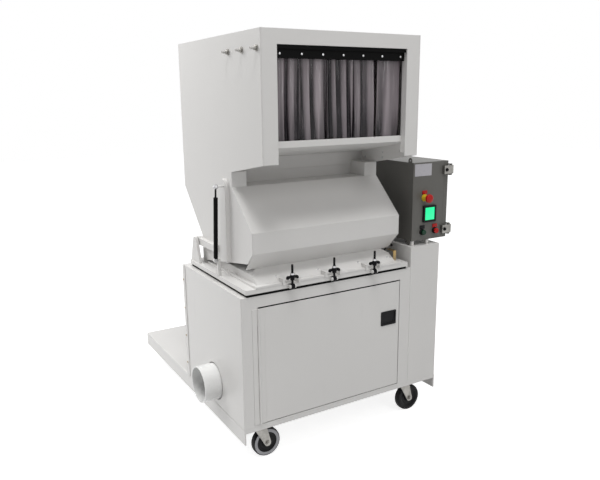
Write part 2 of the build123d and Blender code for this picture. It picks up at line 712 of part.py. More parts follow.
inner_w = hopper_w - 2 * hopper_sheet
with BuildPart() as hopper_roof_back:
    with BuildSketch(side_at(hop_l + hopper_sheet)):
        with BuildLine():
            Polyline(
                (hop_f + hopper_sheet, hopper_top),
                (hop_b, hopper_top),
                (hop_b, break_z),
                (heel_y, heel_z),
                (heel_y, flange_top),
                (heel_y - sheet, flange_top),
                (heel_y - sheet, heel_z + 1.2),
                (hop_b - sheet, break_z + 1.2),
                (hop_b - sheet, hopper_top - sheet),
                (hop_f + hopper_sheet, hopper_top - sheet),
                close=True,
            )
        make_face()
    extrude(amount=inner_w)
finish(hopper_roof_back.part, "hopper_roof_back")

# Front frame: two posts and a header round the feed opening, with returns along the posts
post_face = 66.0
post_return = 30.0
header_h = 54.0

with BuildPart() as hopper_front:
    with BuildSketch(section_at(hop_f + hopper_sheet)):
        with Locations((cab_x, (lip_z + hopper_top) / 2)):
            Rectangle(inner_w, hopper_top - lip_z)
        with Locations((cab_x, hopper_top - header_h)):
            Rectangle(hopper_w - 2 * post_face, hopper_top, align=(Align.CENTER, Align.MAX), mode=Mode.SUBTRACT)
    extrude(amount=hopper_sheet)
    for return_x in (hop_l + post_face - sheet / 2, hop_r - post_face + sheet / 2):
        with Locations((return_x, hop_f + post_return / 2, (lip_z + 14 + hopper_top - header_h) / 2)):
            Box(sheet, post_return, hopper_top - header_h - lip_z - 14)
finish(hopper_front.part, "hopper_front")

# Feed floor: raised sill, a sheet that falls back towards the throat and a lap down over the neck
sill_y = hop_f + 25.0
sill_top = lip_z + 83.0
sill_bottom = sill_top - 25.0
fold_z = neck_top + 41.0
lap_z = neck_top - 16.0
lap_up = 20.0

with BuildPart() as feed_floor:
    with BuildSketch(side_at(hop_l + hopper_sheet)):
        with BuildLine():
            Polyline(
                (sill_y, sill_top),
                (sill_y, sill_bottom),
                (recess_y - sheet, fold_z),
                (recess_y - sheet, lap_z),
                (recess_y, lap_z),
                (recess_y, fold_z + sheet),
                (sill_y + sheet, sill_bottom + sheet),
                (sill_y + sheet, sill_top),
                close=True,
            )
        make_face()
    extrude(amount=inner_w)
    for notch_x in (hop_l + hopper_sheet, hop_r - post_face):
        with Locations((notch_x, sill_y - 1, sill_bottom - 20)):
            Box(
                post_face - hopper_sheet,
                post_return - 25.0 + 1 + clear,
                sill_top - sill_bottom + 30,
                align=(Align.MIN, Align.MIN, Align.MIN),
                mode=Mode.SUBTRACT,
            )
finish(feed_floor.part, "feed_floor")

# Throat front: recessed neck, ledge, sloped panel, belly and the reverse slope down to the skirt
neck_end = 66.0

with BuildPart() as throat_front:
    with BuildSketch(side_at(hop_l + hopper_sheet)):
        with BuildLine():
            Polyline(
                (recess_y, lap_z + lap_up),
                (recess_y, neck_bottom),
                (neck_y, neck_bottom),
                (belly_y, belly_top),
                (belly_y, belly_bottom),
                (skirt_y, skirt_z),
                (skirt_y + sheet, skirt_z + 1.5),
                (belly_y + sheet, belly_bottom + 1.2),
                (belly_y + sheet, belly_top - 1.2),
                (neck_y + 1.5, neck_bottom - sheet),
                (recess_y + sheet, neck_bottom - sheet),
                (recess_y + sheet, lap_z + lap_up),
                close=True,
            )
        make_face()
    extrude(amount=inner_w)
    for end_x, wall_x in ((hop_l + hopper_sheet, hop_l + neck_end - sheet), (hop_r - neck_end, hop_r - neck_end)):
        with Locations((end_x, neck_y, neck_bottom)):
            Box(neck_end - hopper_sheet, sheet, neck_top - neck_bottom, align=(Align.MIN, Align.MIN, Align.MIN))
        with BuildSketch(side_at(wall_x)):
            with BuildLine():
                Polyline(
                    (neck_y, neck_bottom),
                    (recess_y, neck_bottom),
                    (recess_y, lap_z),
                    (recess_y - sheet, lap_z),
                    (recess_y - sheet, neck_top),
                    (neck_y, neck_top),
                    close=True,
                )
            make_face()
        extrude(amount=sheet)
        with Locations((end_x, neck_y, neck_top)):
            Box(
                neck_end - hopper_sheet,
                recess_y - sheet - neck_y,
                sheet,
                align=(Align.MIN, Align.MIN, Align.MAX),
            )
finish(throat_front.part, "throat_front")

# Hopper base: bolting flange with a flared skirt, and guide ears beside each clamp
skirt_front = cab_f + 16.0
skirt_half_low = hopper_w / 2 - 17.0
skirt_half_top = hopper_w / 2 - 46.0
skirt_end_h = 30.0
skirt_back_in = 40.0
ear_in = 31.0
ear_t = 10.0
ear_h = 24.0
flange_front = cab_f - 7.0
notch_w = 60.0
notch_d = 19.0
base_d = heel_y - flange_front
base_y = (heel_y + flange_front) / 2

with BuildPart() as hopper_base:
    with BuildSketch(Plane.XY.offset(flange_bottom)):
        with Locations((cab_x, base_y)):
            Rectangle(hopper_w, base_d)
        with Locations((cab_x, rotor_y)):
            Rectangle(chamber_w - 2 * chamber_wall, chamber_d - 2 * chamber_wall, mode=Mode.SUBTRACT)
    extrude(amount=flange_t)
    for skin, skirt_mode in ((0, Mode.ADD), (hopper_sheet + 1, Mode.SUBTRACT)):
        with BuildPart(mode=skirt_mode):
            with BuildSketch(side_at(hop_l)):
                with BuildLine():
                    Polyline(
                        (skirt_front + skin, flange_top),
                        (skirt_y + skin, skirt_z),
                        (heel_y - skirt_back_in - skin, skirt_z),
                        (heel_y - flange_rim / 2 - skin, flange_top),
                        close=True,
                    )
                make_face()
            extrude(amount=hopper_w)
            with BuildSketch(section_at(heel_y)):
                with BuildLine():
                    Polyline(
                        (cab_x - skirt_half_low + skin, flange_top),
                        (cab_x - skirt_half_low + skin, flange_top + skirt_end_h),
                        (cab_x - skirt_half_top + skin, skirt_z),
                        (cab_x + skirt_half_top - skin, skirt_z),
                        (cab_x + skirt_half_low - skin, flange_top + skirt_end_h),
                        (cab_x + skirt_half_low - skin, flange_top),
                        close=True,
                    )
                make_face()
            extrude(amount=base_d, mode=Mode.INTERSECT)
    for clamp_x in clamp_places:
        with Locations((clamp_x, flange_front + notch_d / 2, flange_bottom)):
            Box(notch_w, notch_d, 4 * flange_t, mode=Mode.SUBTRACT)
        for ear_x in (clamp_x - ear_in - ear_t, clamp_x + ear_in):
            with BuildSketch(side_at(ear_x)):
                with Locations((cab_f + 4, flange_bottom + ear_h / 2)):
                    Rectangle(36, ear_h)
            extrude(amount=ear_t)
finish(hopper_base.part, "hopper_base")

# Fittings on the hopper sides: hinge arms, the stiffener with the gas strut's stud, studs near the roof
arm_len = 190.0
arm_h = 30.0
arm_gap = clear + 3.0
arm_l = plate_l + bracket_in + bracket_t + arm_gap
arm_t = hop_l - arm_l

strut_high_y = cab_f + 228.0
strut_high_z = strut_low_z + 312.0
stiffener_t = 18.0
stiffener_w = 56.0
stiffener_y = cab_f + 242.0
stiffener_low = plate_top + 60.0
stud_pitch = 120.0
stud_first = hop_f + 28.0
stud_z = hopper_top - 67.0

with BuildPart() as hopper_fittings:
    for arm_x in (arm_l, hop_r):
        with BuildSketch(side_at(arm_x)):
            with Locations((pivot_y, pivot_z)):
                Circle(bracket_head)
            with Locations((pivot_y - arm_len / 2, pivot_z - 3)):
                Rectangle(arm_len, arm_h)
            with Locations((pivot_y, pivot_z)):
                Circle(pivot_r + running, mode=Mode.SUBTRACT)
        extrude(amount=arm_t)
    with BuildSketch(side_at(hop_l - stiffener_t)):
        with Locations((stiffener_y, (stiffener_low + strut_high_z) / 2)):
            Rectangle(stiffener_w, strut_high_z - stiffener_low)
        with Locations((stiffener_y, strut_high_z)):
            Circle(stiffener_w / 2)
    extrude(amount=stiffener_t)
    stud_l = strut_x + eye_t / 2 + clear
    with Locations(Location((stud_l, strut_high_y, strut_high_z), (0, 90, 0))):
        Cylinder(strut_pin_r, hop_l - stiffener_t - stud_l, align=(Align.CENTER, Align.CENTER, Align.MIN))
    for stud in range(3):
        stud_y = stud_first + stud * stud_pitch
        with Locations(Location((hop_l, stud_y, stud_z), (0, -90, 0))):
            Cylinder(12, 2.5, align=(Align.CENTER, Align.CENTER, Align.MIN))
            Cylinder(5, 26, align=(Align.CENTER, Align.CENTER, Align.MIN))
        with BuildSketch(side_at(hop_l - 2.5)):
            with Locations((stud_y, stud_z)):
                RegularPolygon(9, 6)
        extrude(amount=-8)
finish(hopper_fittings.part, "hopper_fittings")

# Gas strut beside the hopper: cylinder on the post's pin, rod up to the stud
strut_reach = math.hypot(strut_high_y - strut_low_y, strut_high_z - strut_low_z)
strut_lean = math.degrees(math.atan2(strut_low_y - strut_high_y, strut_high_z - strut_low_z))
strut_r = 9.0
rod_r = 4.0
barrel_low = 12.0
barrel_high = 268.0
strut_plane = Plane(Location((strut_x, strut_low_y, strut_low_z), (strut_lean, 0, 0)))
eye_turn = Rotation(0, 90, 0)

with BuildPart() as strut_cylinder:
    with BuildSketch(strut_plane.offset(barrel_low)):
        Circle(strut_r)
        Circle(rod_r + running, mode=Mode.SUBTRACT)
    extrude(amount=barrel_high - barrel_low)
    with BuildSketch(strut_plane.offset(barrel_low)):
        Circle(strut_r)
    extrude(amount=12)
    with BuildSketch(strut_plane):
        Rectangle(eye_t, 2 * eye_r - 5)
    extrude(amount=barrel_low)
    with Locations(Location((strut_x, strut_low_y, strut_low_z), (0, 90, 0))):
        Cylinder(eye_r, eye_t)
        Cylinder(strut_pin_r + running, 2 * eye_t, mode=Mode.SUBTRACT)
finish(strut_cylinder.part, "strut_cylinder")

rod_low = barrel_low + 20.0
with BuildPart() as strut_rod:
    with BuildSketch(strut_plane.offset(rod_low)):
        Circle(rod_r)
    extrude(amount=strut_reach - rod_low - 4)
    with Locations(Location((strut_x, strut_high_y, strut_high_z), (0, 90, 0))):
        Cylinder(eye_r, eye_t)
finish(strut_rod.part, "strut_rod")

# Curtain: black angle with a rod behind it, and strips that hang from the rod
strip_count = 5
curtain_y = hop_f + 42.0
curtain_z = hopper_top - 79.0
bar_w = hopper_w - 2 * post_face
curtain_w = bar_w - 2 * sheet
cheek_t = 2.0
strip_pitch = curtain_w / strip_count
strip_gap = 2.5
strip_t = 3.0
strip_bead = 5.0
curtain_rod_r = 2.5
strip_low = sill_top - 12.0
angle_front = hop_f + post_return - 12.0

with BuildPart() as curtain_bar:
    with BuildSketch(side_at(cab_x - bar_w / 2)):
        with Locations((angle_front, hopper_top - header_h)):
            Rectangle(4, 46, align=(Align.MIN, Align.MAX))
            Rectangle(10, 14, align=(Align.MAX, Align.MAX))
    extrude(amount=bar_w)
    with Locations(Location((cab_x, curtain_y, curtain_z), (0, 90, 0))):
        Cylinder(curtain_rod_r, bar_w)
    for cheek_x in (cab_x - bar_w / 2, cab_x + bar_w / 2 - cheek_t):
        with BuildSketch(side_at(cheek_x)):
            with Locations(((angle_front + curtain_y + 5) / 2, curtain_z + 2)):
                Rectangle(curtain_y + 5 - angle_front, 20)
        extrude(amount=cheek_t)
finish(curtain_bar.part, "curtain_bar")

for number in range(1, strip_count + 1):
    strip_x = cab_x + (number - (strip_count + 1) / 2) * strip_pitch
    strip_w = strip_pitch - strip_gap
    with BuildPart() as curtain_strip:
        with Locations((strip_x, curtain_y, (strip_low + curtain_z) / 2)):
            Box(strip_w, strip_t, curtain_z - strip_low)
        with Locations(Location((strip_x, curtain_y, curtain_z), (0, 90, 0))):
            Cylinder(strip_bead, strip_w)
            Cylinder(curtain_rod_r + running, 2 * strip_w, mode=Mode.SUBTRACT)
    finish(curtain_strip.part, f"curtain_strip_{number}")

# Interlock: plated bracket on the hopper, switch on the chamber plate and the lead to the guard
switch_x = hop_r + 16.0
switch_y = cab_f + 132.0
switch_h = 26.0
tongue_front = cab_f + 27.0
tongue_back = cab_f + 76.0
tongue_top = plate_top + 54.0
tongue_w = 16.0

with BuildPart() as interlock_bracket:
    with BuildSketch(side_at(cab_x + skirt_half_low)):
        with BuildLine():
            Polyline(
                (tongue_front, flange_top),
                (tongue_front, tongue_top),
                (tongue_back, tongue_top),
                (tongue_back, tongue_top - sheet),
                (tongue_front + sheet, tongue_top - sheet),
                (tongue_front + sheet, flange_top),
                close=True,
            )
        make_face()
    extrude(amount=tongue_w)
finish(interlock_bracket.part, "interlock_bracket")

lead_r = 2.5
lead_bend = 10.0
lead_start = plate_top + switch_h + 2.0
lead_rise = 40.0
lead_drop = 19.0
lead_end = Location((cab_r, switch_y + 6, lead_start + lead_rise - lead_drop), (0, -90, 0))

with BuildPart() as interlock_switch:
    with Locations((switch_x, switch_y, plate_top)):
        Box(18, 34, switch_h, align=(Align.CENTER, Align.CENTER, Align.MIN))
    fillet(interlock_switch.edges().filter_by(Axis.Z), 3)
    with Locations((switch_x, switch_y, plate_top + switch_h)):
        Cylinder(6, 5, align=(Align.CENTER, Align.CENTER, Align.MIN))
    with BuildLine() as lead_line:
        FilletPolyline(
            (switch_x, switch_y, lead_start),
            (switch_x + 14, switch_y, lead_start + lead_rise),
            (switch_x + 33, switch_y + 2, lead_start + lead_rise),
            (cab_r - 3, switch_y + 6, lead_start + lead_rise - lead_drop),
            radius=lead_bend,
        )
    with BuildSketch(Plane(origin=lead_line.line @ 0, z_dir=lead_line.line % 0)):
        Circle(lead_r)
    sweep()
    with Locations(lead_end):
        Cylinder(2.4 * lead_r, 6, align=(Align.CENTER, Align.CENTER, Align.MIN))
finish(interlock_switch.part, "interlock_switch")

# Control enclosure on posts over the guard; its door faces +X and is hinged at the rear
enc_l = cab_r + enclosure_gap
enc_r = enc_l + enclosure_w
enc_f = cab_f + 18.0
enc_b = enc_f + enclosure_d
enc_bottom = guard_top + 22.0
enc_top = enc_bottom + enclosure_h
enc_door_t = 25.0
enc_sheet = 2.0
enc_seam = enc_r - enc_door_t
enc_z = (enc_bottom + enc_top) / 2
enc_hinge_x = enc_r - enc_door_t / 2
enc_hinge_y = enc_b + 6.0
enc_hinge_r = 5.5
enc_pin_r = 2.5
enc_knuckle_h = 24.0
enc_hinges = (enc_bottom + 70.0, enc_top - 70.0)
post_size = 14.0
estop_x = enc_l + 68.0
estop_z = enc_bottom + 195.0
start_x = enc_l + 60.0
stop_x = enc_l + 135.0
button_z = enc_bottom + 38.0
stem_r = 8.0

with BuildPart() as enclosure_body:
    with Locations(((enc_l + enc_seam) / 2, (enc_f + enc_b) / 2, enc_z)):
        Box(enc_seam - enc_l, enclosure_d, enclosure_h)
    offset(amount=-enc_sheet, openings=enclosure_body.faces().sort_by(Axis.X)[-1])
    for post_x in (enc_l + 11, enc_l + 98):
        for post_y in (enc_f + 10, enc_b - 10):
            with Locations((post_x, post_y, guard_top)):
                Box(post_size, post_size, enc_bottom - guard_top, align=(Align.CENTER, Align.CENTER, Align.MIN))
    for ear_y in (enc_f + 24, enc_b - 24):
        with BuildSketch(side_at(enc_l)):
            with Locations((ear_y, enc_z)):
                SlotCenterToCenter(enclosure_h + 18, 24, rotation=90)
            for bolt_z in (enc_bottom - 9, enc_top + 9):
                with Locations((ear_y, bolt_z)):
                    Circle(4, mode=Mode.SUBTRACT)
        extrude(amount=enc_sheet)
    for hinge_z in enc_hinges:
        for knuckle in (-1, 1):
            with Locations((enc_hinge_x, enc_hinge_y, hinge_z + knuckle * enc_knuckle_h)):
                Cylinder(enc_hinge_r, enc_knuckle_h - clear)
            with Locations((enc_seam - 10, enc_b, hinge_z + knuckle * enc_knuckle_h)):
                Box(enc_hinge_x - enc_seam + 10, 2.5, enc_knuckle_h - clear, align=(Align.MIN, Align.MIN, Align.CENTER))
        with Locations((enc_hinge_x, enc_hinge_y, hinge_z)):
            Cylinder(enc_pin_r, 3 * enc_knuckle_h - clear)
    for hole_x, hole_z in ((estop_x, estop_z), (start_x, button_z), (stop_x, button_z)):
        with Locations(Location((hole_x, enc_f, hole_z), (90, 0, 0))):
            Cylinder(stem_r + clear, 4 * enc_sheet, mode=Mode.SUBTRACT)
finish(enclosure_body.part, "enclosure_body")

# Door with its hinge knuckles and, along the front edge, two pins for the clamps
clamp_pin_r = 2.5
clamp_pin_x = enc_r + 9.0
clamp_pin_y = enc_f - 8.0
clamp_h = 38.0
enc_clamp_heights = {"top": enc_top - 40.0, "bottom": enc_bottom + 40.0}

with BuildPart() as enclosure_door:
    with Locations(((enc_seam + clear + enc_r) / 2, (enc_f + enc_b) / 2, enc_z)):
        Box(enc_r - enc_seam - clear, enclosure_d, enclosure_h)
    offset(amount=-enc_sheet, openings=enclosure_door.faces().sort_by(Axis.X)[0])
    for hinge_z in enc_hinges:
        with Locations((enc_hinge_x, enc_hinge_y, hinge_z)):
            Cylinder(enc_hinge_r, enc_knuckle_h - clear)
        with Locations((enc_hinge_x, enc_b, hinge_z)):
            Box(6, 4, enc_knuckle_h - clear, align=(Align.MIN, Align.MIN, Align.CENTER))
        with Locations((enc_hinge_x, enc_hinge_y, hinge_z)):
            Cylinder(enc_pin_r + running, 4 * enc_knuckle_h, mode=Mode.SUBTRACT)
    for clamp_z in enc_clamp_heights.values():
        for step in (-1, 1):
            with Locations((clamp_pin_x, clamp_pin_y, clamp_z + step * (clamp_h / 2 + 4))):
                Cylinder(6, 6)
            with Locations((enc_r, clamp_pin_y - 5, clamp_z + step * (clamp_h / 2 + 4))):
                Box(9, 30, 6, align=(Align.MIN, Align.MIN, Align.CENTER))
        with Locations((clamp_pin_x, clamp_pin_y, clamp_z)):
            Cylinder(clamp_pin_r, clamp_h + 12)
finish(enclosure_door.part, "enclosure_door")

# Door clamps: each turns on its pin, its foot lies over the front face
for place, clamp_z in enc_clamp_heights.items():
    with BuildPart() as door_clamp:
        with BuildSketch(Plane.XY.offset(clamp_z - clamp_h / 2)):
            with Locations((clamp_pin_x, clamp_pin_y)):
                Circle(6)
            with BuildLine():
                Polyline(
                    (clamp_pin_x + 13, clamp_pin_y - 4),
                    (clamp_pin_x + 4, clamp_pin_y - 10),
                    (clamp_pin_x - 44, clamp_pin_y - 8),
                    (clamp_pin_x - 44, clamp_pin_y + 4),
                    (clamp_pin_x - 38, clamp_pin_y + 7),
                    (clamp_pin_x - 32, clamp_pin_y + 2),
                    (clamp_pin_x, clamp_pin_y + 4),
                    (clamp_pin_x + 13, clamp_pin_y + 4),
                    close=True,
                )
            make_face()
        extrude(amount=clamp_h)
        with Locations((clamp_pin_x, clamp_pin_y, clamp_z)):
            Cylinder(clamp_pin_r + running, 3 * clamp_h, mode=Mode.SUBTRACT)
    finish(door_clamp.part, f"door_clamp_{place}")

# Operator controls on the enclosure's front face
meter_w = 74.0
meter_h = 76.0
meter_x = enc_l + 98.0
meter_z = enc_bottom + 120.0
button_throw = 4.0
button_r = 12.0
collar_r = 14.5
collar_t = 7.0
legend_w = 30.0
legend_h = 24.0
legend_t = 4.0
mushroom_r = 20.0
estop_collar_r = 17.0
estop_collar_t = 22.0


def facing_front(x, z, out=0.0):
    """Location on the enclosure's front face with its Z axis pointing to the front."""
    return Location((x, enc_f - out, z), (90, 0, 0))


out_of_face = (Align.CENTER, Align.CENTER, Align.MIN)

with BuildPart() as control_bezels:
    with Locations(facing_front(estop_x, estop_z)):
        Cylinder(estop_collar_r, estop_collar_t, align=out_of_face)
        Cylinder(stem_r + running, estop_collar_t, align=out_of_face, mode=Mode.SUBTRACT)
    for bezel_x in (start_x, stop_x):
        with Locations(facing_front(bezel_x, button_z)):
            Cylinder(collar_r, collar_t, align=out_of_face)
            Cylinder(stem_r + running, collar_t, align=out_of_face, mode=Mode.SUBTRACT)
    for legend_x, legend_z in ((start_x, button_z), (stop_x, button_z), (estop_x, estop_z + 8)):
        with Locations((legend_x, enc_f, legend_z + collar_r + legend_h / 2)):
            Box(legend_w, legend_t, legend_h, align=(Align.CENTER, Align.MAX, Align.CENTER))
finish(control_bezels.part, "control_bezels")

with BuildPart() as estop_button:
    with Locations(facing_front(estop_x, estop_z)):
        Cylinder(stem_r, estop_collar_t + 8, align=out_of_face)
    with Locations(facing_front(estop_x, estop_z, estop_collar_t + 6)):
        Cylinder(mushroom_r, 14, align=out_of_face)
    fillet(estop_button.edges().group_by(Axis.Y)[0], 6)
finish(estop_button.part, "estop_button")

for button_name, button_x in (("start_button", start_x), ("stop_button", stop_x)):
    with BuildPart() as push_button:
        with Locations(facing_front(button_x, button_z)):
            Cylinder(stem_r, collar_t + 6, align=out_of_face)
        with Locations(facing_front(button_x, button_z, collar_t + button_throw + clear)):
            Cylinder(button_r, 7, align=out_of_face)
        fillet(push_button.edges().group_by(Axis.Y)[0], 2)
    finish(push_button.part, button_name)

with BuildPart() as panel_meter:
    with Locations((meter_x, enc_f, meter_z)):
        Box(meter_w, 9, meter_h, align=(Align.CENTER, Align.MAX, Align.CENTER))
    fillet(panel_meter.edges().filter_by(Axis.Y), 3)
    with Locations((meter_x, enc_f - 9, meter_z)):
        Box(meter_w - 18, 3, meter_h - 18, align=(Align.CENTER, Align.MIN, Align.CENTER), mode=Mode.SUBTRACT)
finish(panel_meter.part, "panel_meter")
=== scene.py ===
import logging
import math
from dataclasses import dataclass
from enum import Enum
from typing import Any, Iterable, Sequence

import bmesh
import bpy
from mathutils import Matrix, Vector


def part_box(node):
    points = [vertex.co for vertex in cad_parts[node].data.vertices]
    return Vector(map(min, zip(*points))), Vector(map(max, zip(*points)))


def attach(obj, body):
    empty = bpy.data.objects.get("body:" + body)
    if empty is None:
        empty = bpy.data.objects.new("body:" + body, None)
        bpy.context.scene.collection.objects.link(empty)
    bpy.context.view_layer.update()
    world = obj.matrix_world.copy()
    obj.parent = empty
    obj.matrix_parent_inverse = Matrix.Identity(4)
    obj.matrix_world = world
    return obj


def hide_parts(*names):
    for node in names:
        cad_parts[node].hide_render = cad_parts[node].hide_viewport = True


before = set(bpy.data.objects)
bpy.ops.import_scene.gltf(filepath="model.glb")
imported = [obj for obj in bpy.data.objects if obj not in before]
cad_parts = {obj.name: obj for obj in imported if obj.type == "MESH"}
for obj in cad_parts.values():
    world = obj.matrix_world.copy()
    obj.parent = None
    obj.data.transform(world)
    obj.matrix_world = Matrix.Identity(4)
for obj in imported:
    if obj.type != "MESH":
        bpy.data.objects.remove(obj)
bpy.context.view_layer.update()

LOG = logging.getLogger("shredder")
Colour = tuple[float, float, float]
Point = tuple[float, float, float]
Pair = tuple[float, float]
LEFT: Point = (-1.0, 0.0, 0.0)
RIGHT: Point = (1.0, 0.0, 0.0)
FRONT: Point = (0.0, -1.0, 0.0)
BACK: Point = (0.0, 1.0, 0.0)
UP: Point = (0.0, 0.0, 1.0)
SHARP_TURN = 0.6
SMOOTH_LIMIT = math.radians(38)
MERGE_DISTANCE = 1e-6
THREAD_PITCH = 0.0015
THREAD_DEPTH = 0.0006
THREAD_END = 0.002
THREAD_CHAMFER = 0.0015
FOLD_DEPTH = 0.0068
MIX_INPUTS = (0, 6, 7)
MIX_RESULT = 2


class Socket:
    """A node's output that takes part in Python arithmetic."""

    def __init__(self, graph: "Graph", output: bpy.types.NodeSocket) -> None:
        """Keeps the graph and the output that the expression grows from."""
        self.graph = graph
        self.output = output

    def _math(self, operation: str, first: Any, second: Any) -> "Socket":
        """Adds one Math node.

        Args:
            operation: Blender's name of the operation.
            first: Left value or socket.
            second: Right value or socket.

        Returns:
            The node's result.
        """
        return self.graph.node("ShaderNodeMath", {"operation": operation}, {0: first, 1: second})

    def __add__(self, other: Any) -> "Socket":
        """Sum."""
        return self._math("ADD", self, other)

    __radd__ = __add__

    def __sub__(self, other: Any) -> "Socket":
        """Difference."""
        return self._math("SUBTRACT", self, other)

    def __rsub__(self, other: Any) -> "Socket":
        """Difference with the number first."""
        return self._math("SUBTRACT", other, self)

    def __mul__(self, other: Any) -> "Socket":
        """Product."""
        return self._math("MULTIPLY", self, other)

    __rmul__ = __mul__

    def above(self, low: float, high: float) -> "Socket":
        """Soft step from 0 at low to 1 at high."""
        limits = {"Value": self, "From Min": low, "From Max": high}
        return self.graph.node("ShaderNodeMapRange", {"interpolation_type": "SMOOTHSTEP"}, limits)


class Graph:
    """Node graph of one material with a single Principled shader."""

    def __init__(self, name: str) -> None:
        """Starts an empty material called name."""
        self.material = bpy.data.materials.new(name)
        self.material.use_nodes = True
        self.tree = self.material.node_tree
        self.shader = self.tree.nodes["Principled BSDF"]

    def node(self, kind: str, settings: dict[str, Any], inputs: dict[Any, Any], output: Any = 0) -> Socket:
        """Creates any node.

        Args:
            kind: Blender's node type.
            settings: Node attributes, set first.
            inputs: Values or sockets by input name or number.
            output: Name or number of the wanted output.

        Returns:
            The chosen output.
        """
        made = self.tree.nodes.new(kind)
        for key, value in settings.items():
            setattr(made, key, value)
        for key, value in inputs.items():
            self.feed(made.inputs[key], value)
        return Socket(self, made.outputs[output])

    def feed(self, target: bpy.types.NodeSocket, value: Any) -> None:
        """Links a socket to an input, or sets the input's own value.

        Args:
            target: Input of a node.
            value: Socket, number, or colour of three channels.
        """
        if isinstance(value, Socket):
            self.tree.links.new(value.output, target)
        elif isinstance(value, tuple) and len(value) == 3 and target.type == "RGBA":
            target.default_value = (*value, 1.0)
        else:
            target.default_value = value

    def place(self, turn: Point = (0.0, 0.0, 0.0), stretch: Point = (1.0, 1.0, 1.0)) -> Socket:
        """Object coordinates, turned and stretched."""
        where = self.node("ShaderNodeTexCoord", {}, {}, "Object")
        return self.node("ShaderNodeMapping", {}, {"Vector": where, "Rotation": turn, "Scale": stretch})

    def noise(self, where: Socket, scale: float, detail: float = 2.0, roughness: float = 0.5) -> Socket:
        """Noise between 0 and 1 at that many grains in a metre."""
        inputs = {"Vector": where, "Scale": scale, "Detail": detail, "Roughness": roughness}
        return self.node("ShaderNodeTexNoise", {}, inputs, 0)

    def mix(self, share: Any, first: Any, second: Any) -> Socket:
        """Blend of two colours."""
        inputs = dict(zip(MIX_INPUTS, (share, first, second)))
        return self.node("ShaderNodeMix", {"data_type": "RGBA"}, inputs, MIX_RESULT)

    def seen(self) -> Socket:
        """1 for rays from the camera, also by way of metal or glass, and 0 for other rays."""
        straight = self.node("ShaderNodeLightPath", {}, {}, "Is Camera Ray")
        mirrored = self.node("ShaderNodeLightPath", {}, {}, "Is Glossy Ray")
        through = self.node("ShaderNodeLightPath", {}, {}, "Is Transmission Ray")
        return straight + mirrored + through

    def bump(self, height: Socket, depth: float, soft_edge: float = 0.0) -> Socket:
        """Normal with small relief.

        Args:
            height: Relief between 0 and 1.
            depth: Metres between the lowest and highest point.
            soft_edge: Radius that sharp edges seem to have.

        Returns:
            A normal for the shader.
        """
        inputs: dict[str, Any] = {"Height": height, "Distance": depth}
        if soft_edge:
            inputs["Normal"] = self.node("ShaderNodeBevel", {"samples": 6}, {"Radius": soft_edge}, 0)
        return self.node("ShaderNodeBump", {}, inputs)

    def surface(self, **values: Any) -> bpy.types.Material | None:
        """Feeds the shader.

        Args:
            values: Values or sockets by input name, with underscores for spaces.

        Returns:
            The material, or None for the world.
        """
        for key, value in values.items():
            self.feed(self.shader.inputs[key.replace("_", " ")], value)
        return self.material


class Surroundings(Graph):
    """Node graph of the world."""

    def __init__(self, name: str) -> None:
        """Starts a world called name and puts the scene in it."""
        world = bpy.data.worlds.new(name)
        world.use_nodes = True
        bpy.context.scene.world = world
        self.material = None
        self.tree = world.node_tree
        self.shader = self.tree.nodes["Background"]


def shaded(colour: Colour, share: float) -> Colour:
    """The colour times share."""
    return tuple(channel * share for channel in colour)


@dataclass(frozen=True)
class PowderCoat:
    """Baked paint on sheet metal with a fine orange peel, faint clouds and rub marks."""

    name: str
    colour: Colour
    roughness: float = 0.36
    peel: float = 0.00006
    edge: float = 0.0022
    gloss: float = 0.25
    coat: float = 0.06

    def material(self) -> bpy.types.Material:
        """Builds the paint.

        Returns:
            The new material.
        """
        graph = Graph(self.name)
        where = graph.place()
        clouds = graph.noise(where, 2.6, 3.0)
        specks = graph.noise(where, 240.0, 1.0)
        rubs = graph.noise(graph.place(stretch=(1.0, 1.0, 0.18)), 26.0, 5.0, 0.65).above(0.60, 0.76)
        tone = graph.mix(clouds, shaded(self.colour, 0.965), shaded(self.colour, 1.02))
        tone = graph.mix(rubs * 0.10, tone, shaded(self.colour, 0.82))
        peel = graph.noise(where, 520.0, 2.0, 0.55)
        return graph.surface(
            Base_Color=tone,
            Roughness=self.roughness + (clouds - 0.5) * 0.08 + rubs * 0.10 + (specks - 0.5) * 0.04,
            Normal=graph.bump(peel, self.peel, self.edge),
            Specular_IOR_Level=self.gloss,
            Coat_Weight=self.coat,
            Coat_Roughness=0.12,
        )


@dataclass(frozen=True)
class BareMetal:
    """Ground, plated or cast metal."""

    name: str
    colour: Colour
    roughness: float
    grain: Point = (1.0, 1.0, 1.0)
    spread: float = 0.25
    depth: float = 0.00003
    second: Colour | None = None

    def material(self) -> bpy.types.Material:
        """Builds the metal.

        Returns:
            The new material.
        """
        graph = Graph(self.name)
        fine = graph.noise(graph.place(stretch=self.grain), 700.0, 3.0, 0.6)
        patches = graph.noise(graph.place(), 38.0, 4.0, 0.6)
        other = self.second or shaded(self.colour, 0.72)
        tone = graph.mix(patches.above(0.32, 0.70), self.colour, other)
        return graph.surface(
            Base_Color=graph.mix(fine * 0.25, tone, shaded(self.colour, 0.6)),
            Metallic=1.0,
            Roughness=self.roughness + (patches - 0.5) * self.spread + (fine - 0.5) * 0.10,
            Normal=graph.bump(fine, self.depth, 0.0006),
        )


